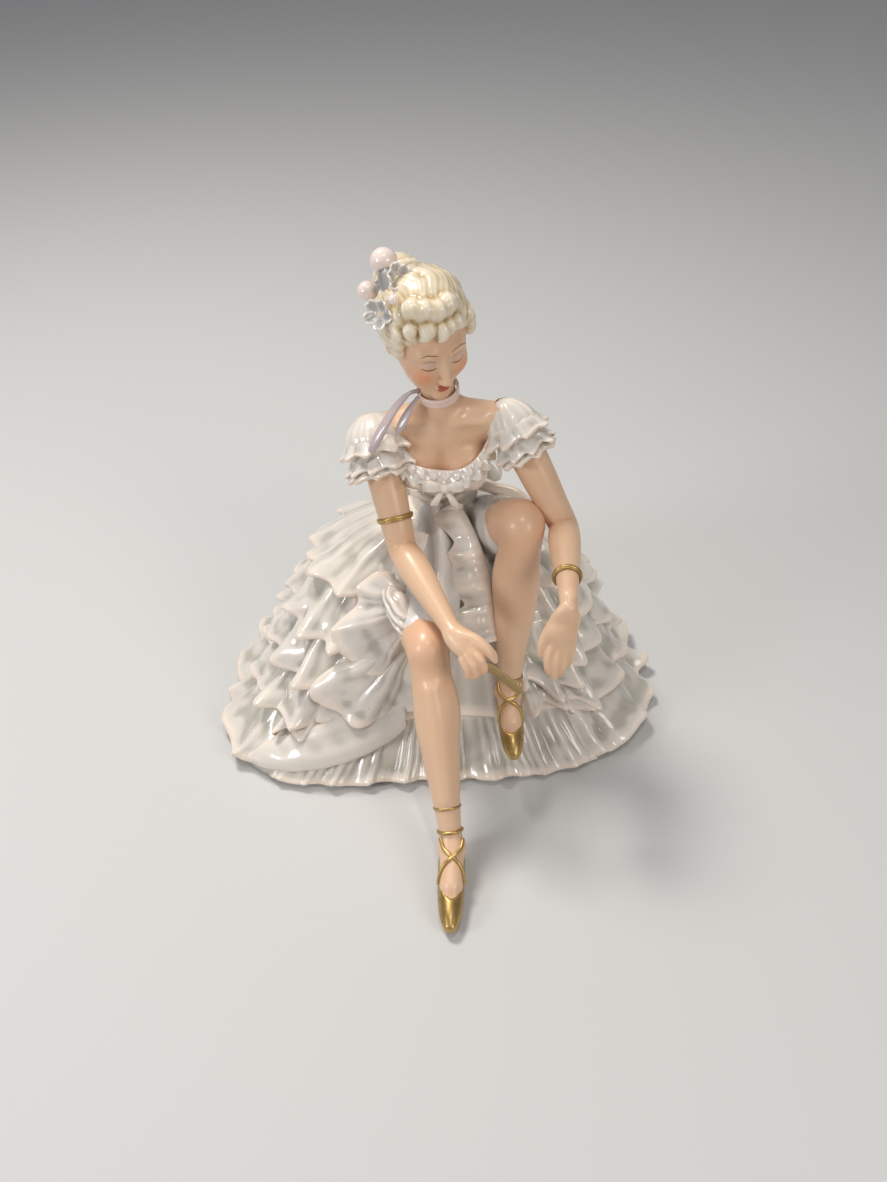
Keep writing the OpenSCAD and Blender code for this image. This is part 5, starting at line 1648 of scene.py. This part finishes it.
# rows are x, y, z and half width; start and end say which way the band lies
ribbons = {
    "shoeRibbon": {
        "rows": [(12.6, -73.8, 86.6, 0.8), (14.6, -75.4, 83.4, 1.3), (17.4, -72.4, 78.0, 1.75),
                 (21.4, -66.8, 69.6, 1.25), (24.4, -61.6, 61.6, 1.8), (28.6, -56.0, 52.0, 1.4),
                 (31.0, -52.0, 46.0, 1.0)],
        "thick": 0.6, "start": vec(0.9, 0.1, 0.5), "end": vec(0.3, 0.6, 0.9),
        "material": goldLustre, "slot": "gold_lustre", "node": "shoe_ribbon"},
    "neckRibbonLong": {
        "rows": [(-8.6, -9.6, 157.2, 0.8), (-13, -11.4, 156.4, 1.6), (-18, -14.2, 151.6, 1.9),
                 (-22.6, -17.4, 145, 2.1), (-26, -19.2, 138.4, 1.6), (-28.4, -19, 132.6, 0.3)],
        "thick": 0.75, "start": vec(0.75, -0.2, 0.6), "end": vec(0.8, -0.3, 0.2),
        "material": lilacGlaze, "slot": "lilac_glaze", "node": "neck_ribbon"},
    "neckRibbonShort": {
        "rows": [(-9.2, -11.2, 155.4, 0.8), (-12.4, -14.4, 151.6, 1.7), (-15.4, -16.6, 146.6, 1.7),
                 (-17.6, -17.2, 142.2, 0.3)],
        "thick": 0.6, "start": vec(0.8, -0.3, 0.5), "end": vec(0.8, -0.3, 0.2),
        "material": lilacGlaze, "slot": "lilac_glaze", "node": "neck_ribbon_short"},
    "sashTail": {
        "rows": [(12, 6.5, 106, 1.6), (15, 7.5, 105, 2.3), (21, 9.0, 102, 2.7), (29, 10, 98.6, 2.9),
                 (36, 10, 94, 1.4)],
        "thick": 0.9, "start": vec(0.2, 0.3, 1), "end": vec(0.1, 0.2, 1),
        "material": peachGlaze, "slot": "peach_glaze", "node": "sash_tail"},
}


def makeRibbons():
    for side, node in ((0, "ankle_ribbon_right"), (1, "ankle_ribbon_left")):
        across = vec(0.35, -0.6, -0.7)
        for m in (-1, 1):
            rows = laidOnFoot(side, [(x * m, y, z) for x, y, z in ankleCross[side]], 0.8)
            name = "ankleCross" + ("Right" if side == 0 else "Left") + ("A" if m < 0 else "B")
            ribbon(name, rows, 0.62, across * vec(m, 1, 1), across * vec(m, 1, 1), goldLustre,
                   [node])
    for name, band in ribbons.items():
        ribbon(name, band["rows"], band["thick"], band["start"], band["end"], band["material"],
               [band["node"]])


def makeChoker():
    centre = middle("choker")
    way = unit(vec(-0.8, -1.5, 6))
    x = unit(np.cross(way, vec(0, 1, 0.1)))
    y = np.cross(way, x)

    def band(s, t):
        a = 2 * np.pi * s
        rise = mix(1.9, -1.9, t)
        return (centre + way * rise[..., None] + x * (7.25 * np.cos(a))[...,
                None] + y * (7.25 * np.sin(a))[..., None])
    look = {"Fold length": 40.0, "Fold height": 0.06, "Lean": 0.0, "Droop": 0.1, "Roll out": 0.1,
            "Unevenness": 0.2,
            "Gather": 0.1, "Seed": 5.0, "wall": 0.8, "flip": True}
    ruffled("chokerFrill", band, (96, 8), look, pinkGlaze, ["choker"], closed=True)


makeRings()
makeRibbons()
makeChoker()
print("ribbons and rings made")


# ---------- carried CAD node ----------
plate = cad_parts["base_plate"]
if plate.material_slots:
    for held in plate.material_slots:
        held.material = bisque
else:
    plate.data.materials.append(bisque)


# ---------- floor, light and camera ----------
studio = {
    "floorHalf": 12.0, "floorAt": -0.0002, "floorColour": (0.62, 0.62, 0.61, 1), "floorRoughness": 0.75,
    "skyColour": (0.93, 0.95, 1.0, 1), "skyStrength": 0.26,
    "aim": (0, 0, 0.055), "above": 39.5, "distance": 0.46, "sensor": 36, "lens": 36 * 1070 / 887,
    "near": 0.01,
}
# place, aim, width, power and colour of each lamp
lamps = {
    "keyLight": ((-0.35, 0.25, 0.95), (0, -0.02, 0.08), 0.28, 6.6, (1.0, 0.955, 0.90)),
    "fillLight": ((0.55, -0.65, 0.55), (0, 0, 0.09), 0.40, 2.0, (1.0, 0.94, 0.88)),
    "leftLight": ((-0.70, -0.45, 0.45), (0, 0, 0.09), 0.25, 2.0, (0.96, 0.97, 1.0)),
    "sparkLight": ((0.05, -0.30, 0.95), (0, -0.03, 0.10), 0.05, 1.2, (1.0, 0.98, 0.95)),
}


def makeFloor():
    half, low = studio["floorHalf"], studio["floorAt"]
    mesh = bpy.data.meshes.new("floor")
    mesh.from_pydata([(-half, -half, low), (half, -half, low), (half, half, low), (-half, half, low)], [],
                     [(0, 1, 2, 3)])
    floor = addObject("floor", mesh)
    pale = bpy.data.materials.new("paleFloor")
    pale.use_nodes = True
    shader = pale.node_tree.nodes["Principled BSDF"]
    shader.inputs["Base Color"].default_value = studio["floorColour"]
    shader.inputs["Roughness"].default_value = studio["floorRoughness"]
    mesh.materials.append(pale)


def makeLights():
    world = bpy.data.worlds.new("studio")
    bpy.context.scene.world = world
    world.use_nodes = True
    sky = world.node_tree.nodes["Background"]
    sky.inputs[0].default_value = studio["skyColour"]
    sky.inputs[1].default_value = studio["skyStrength"]
    for name, (place, aim, width, power, colour) in lamps.items():
        light = bpy.data.lights.new(name, "AREA")
        light.shape = "DISK"
        light.size = width
        light.energy = power
        light.color = colour
        holder = bpy.data.objects.new(name, light)
        bpy.context.scene.collection.objects.link(holder)
        holder.location = place
        holder.rotation_euler = (Vector(aim) - Vector(place)).to_track_quat("-Z", "Y").to_euler()


def makeCamera():
    view = bpy.data.cameras.new("camera")
    holder = bpy.data.objects.new("camera", view)
    bpy.context.scene.collection.objects.link(holder)
    tilt = math.radians(studio["above"])
    aim = Vector(studio["aim"])
    holder.location = aim + Vector((0, -math.cos(tilt), math.sin(tilt))) * studio["distance"]
    holder.rotation_euler = (aim - holder.location).to_track_quat("-Z", "Y").to_euler()
    view.sensor_fit = "HORIZONTAL"
    view.sensor_width = studio["sensor"]
    view.lens = studio["lens"]
    view.clip_start = studio["near"]
    bpy.context.scene.camera = holder
    bpy.context.scene.view_settings.view_transform = "Standard"


makeFloor()
makeLights()
makeCamera()
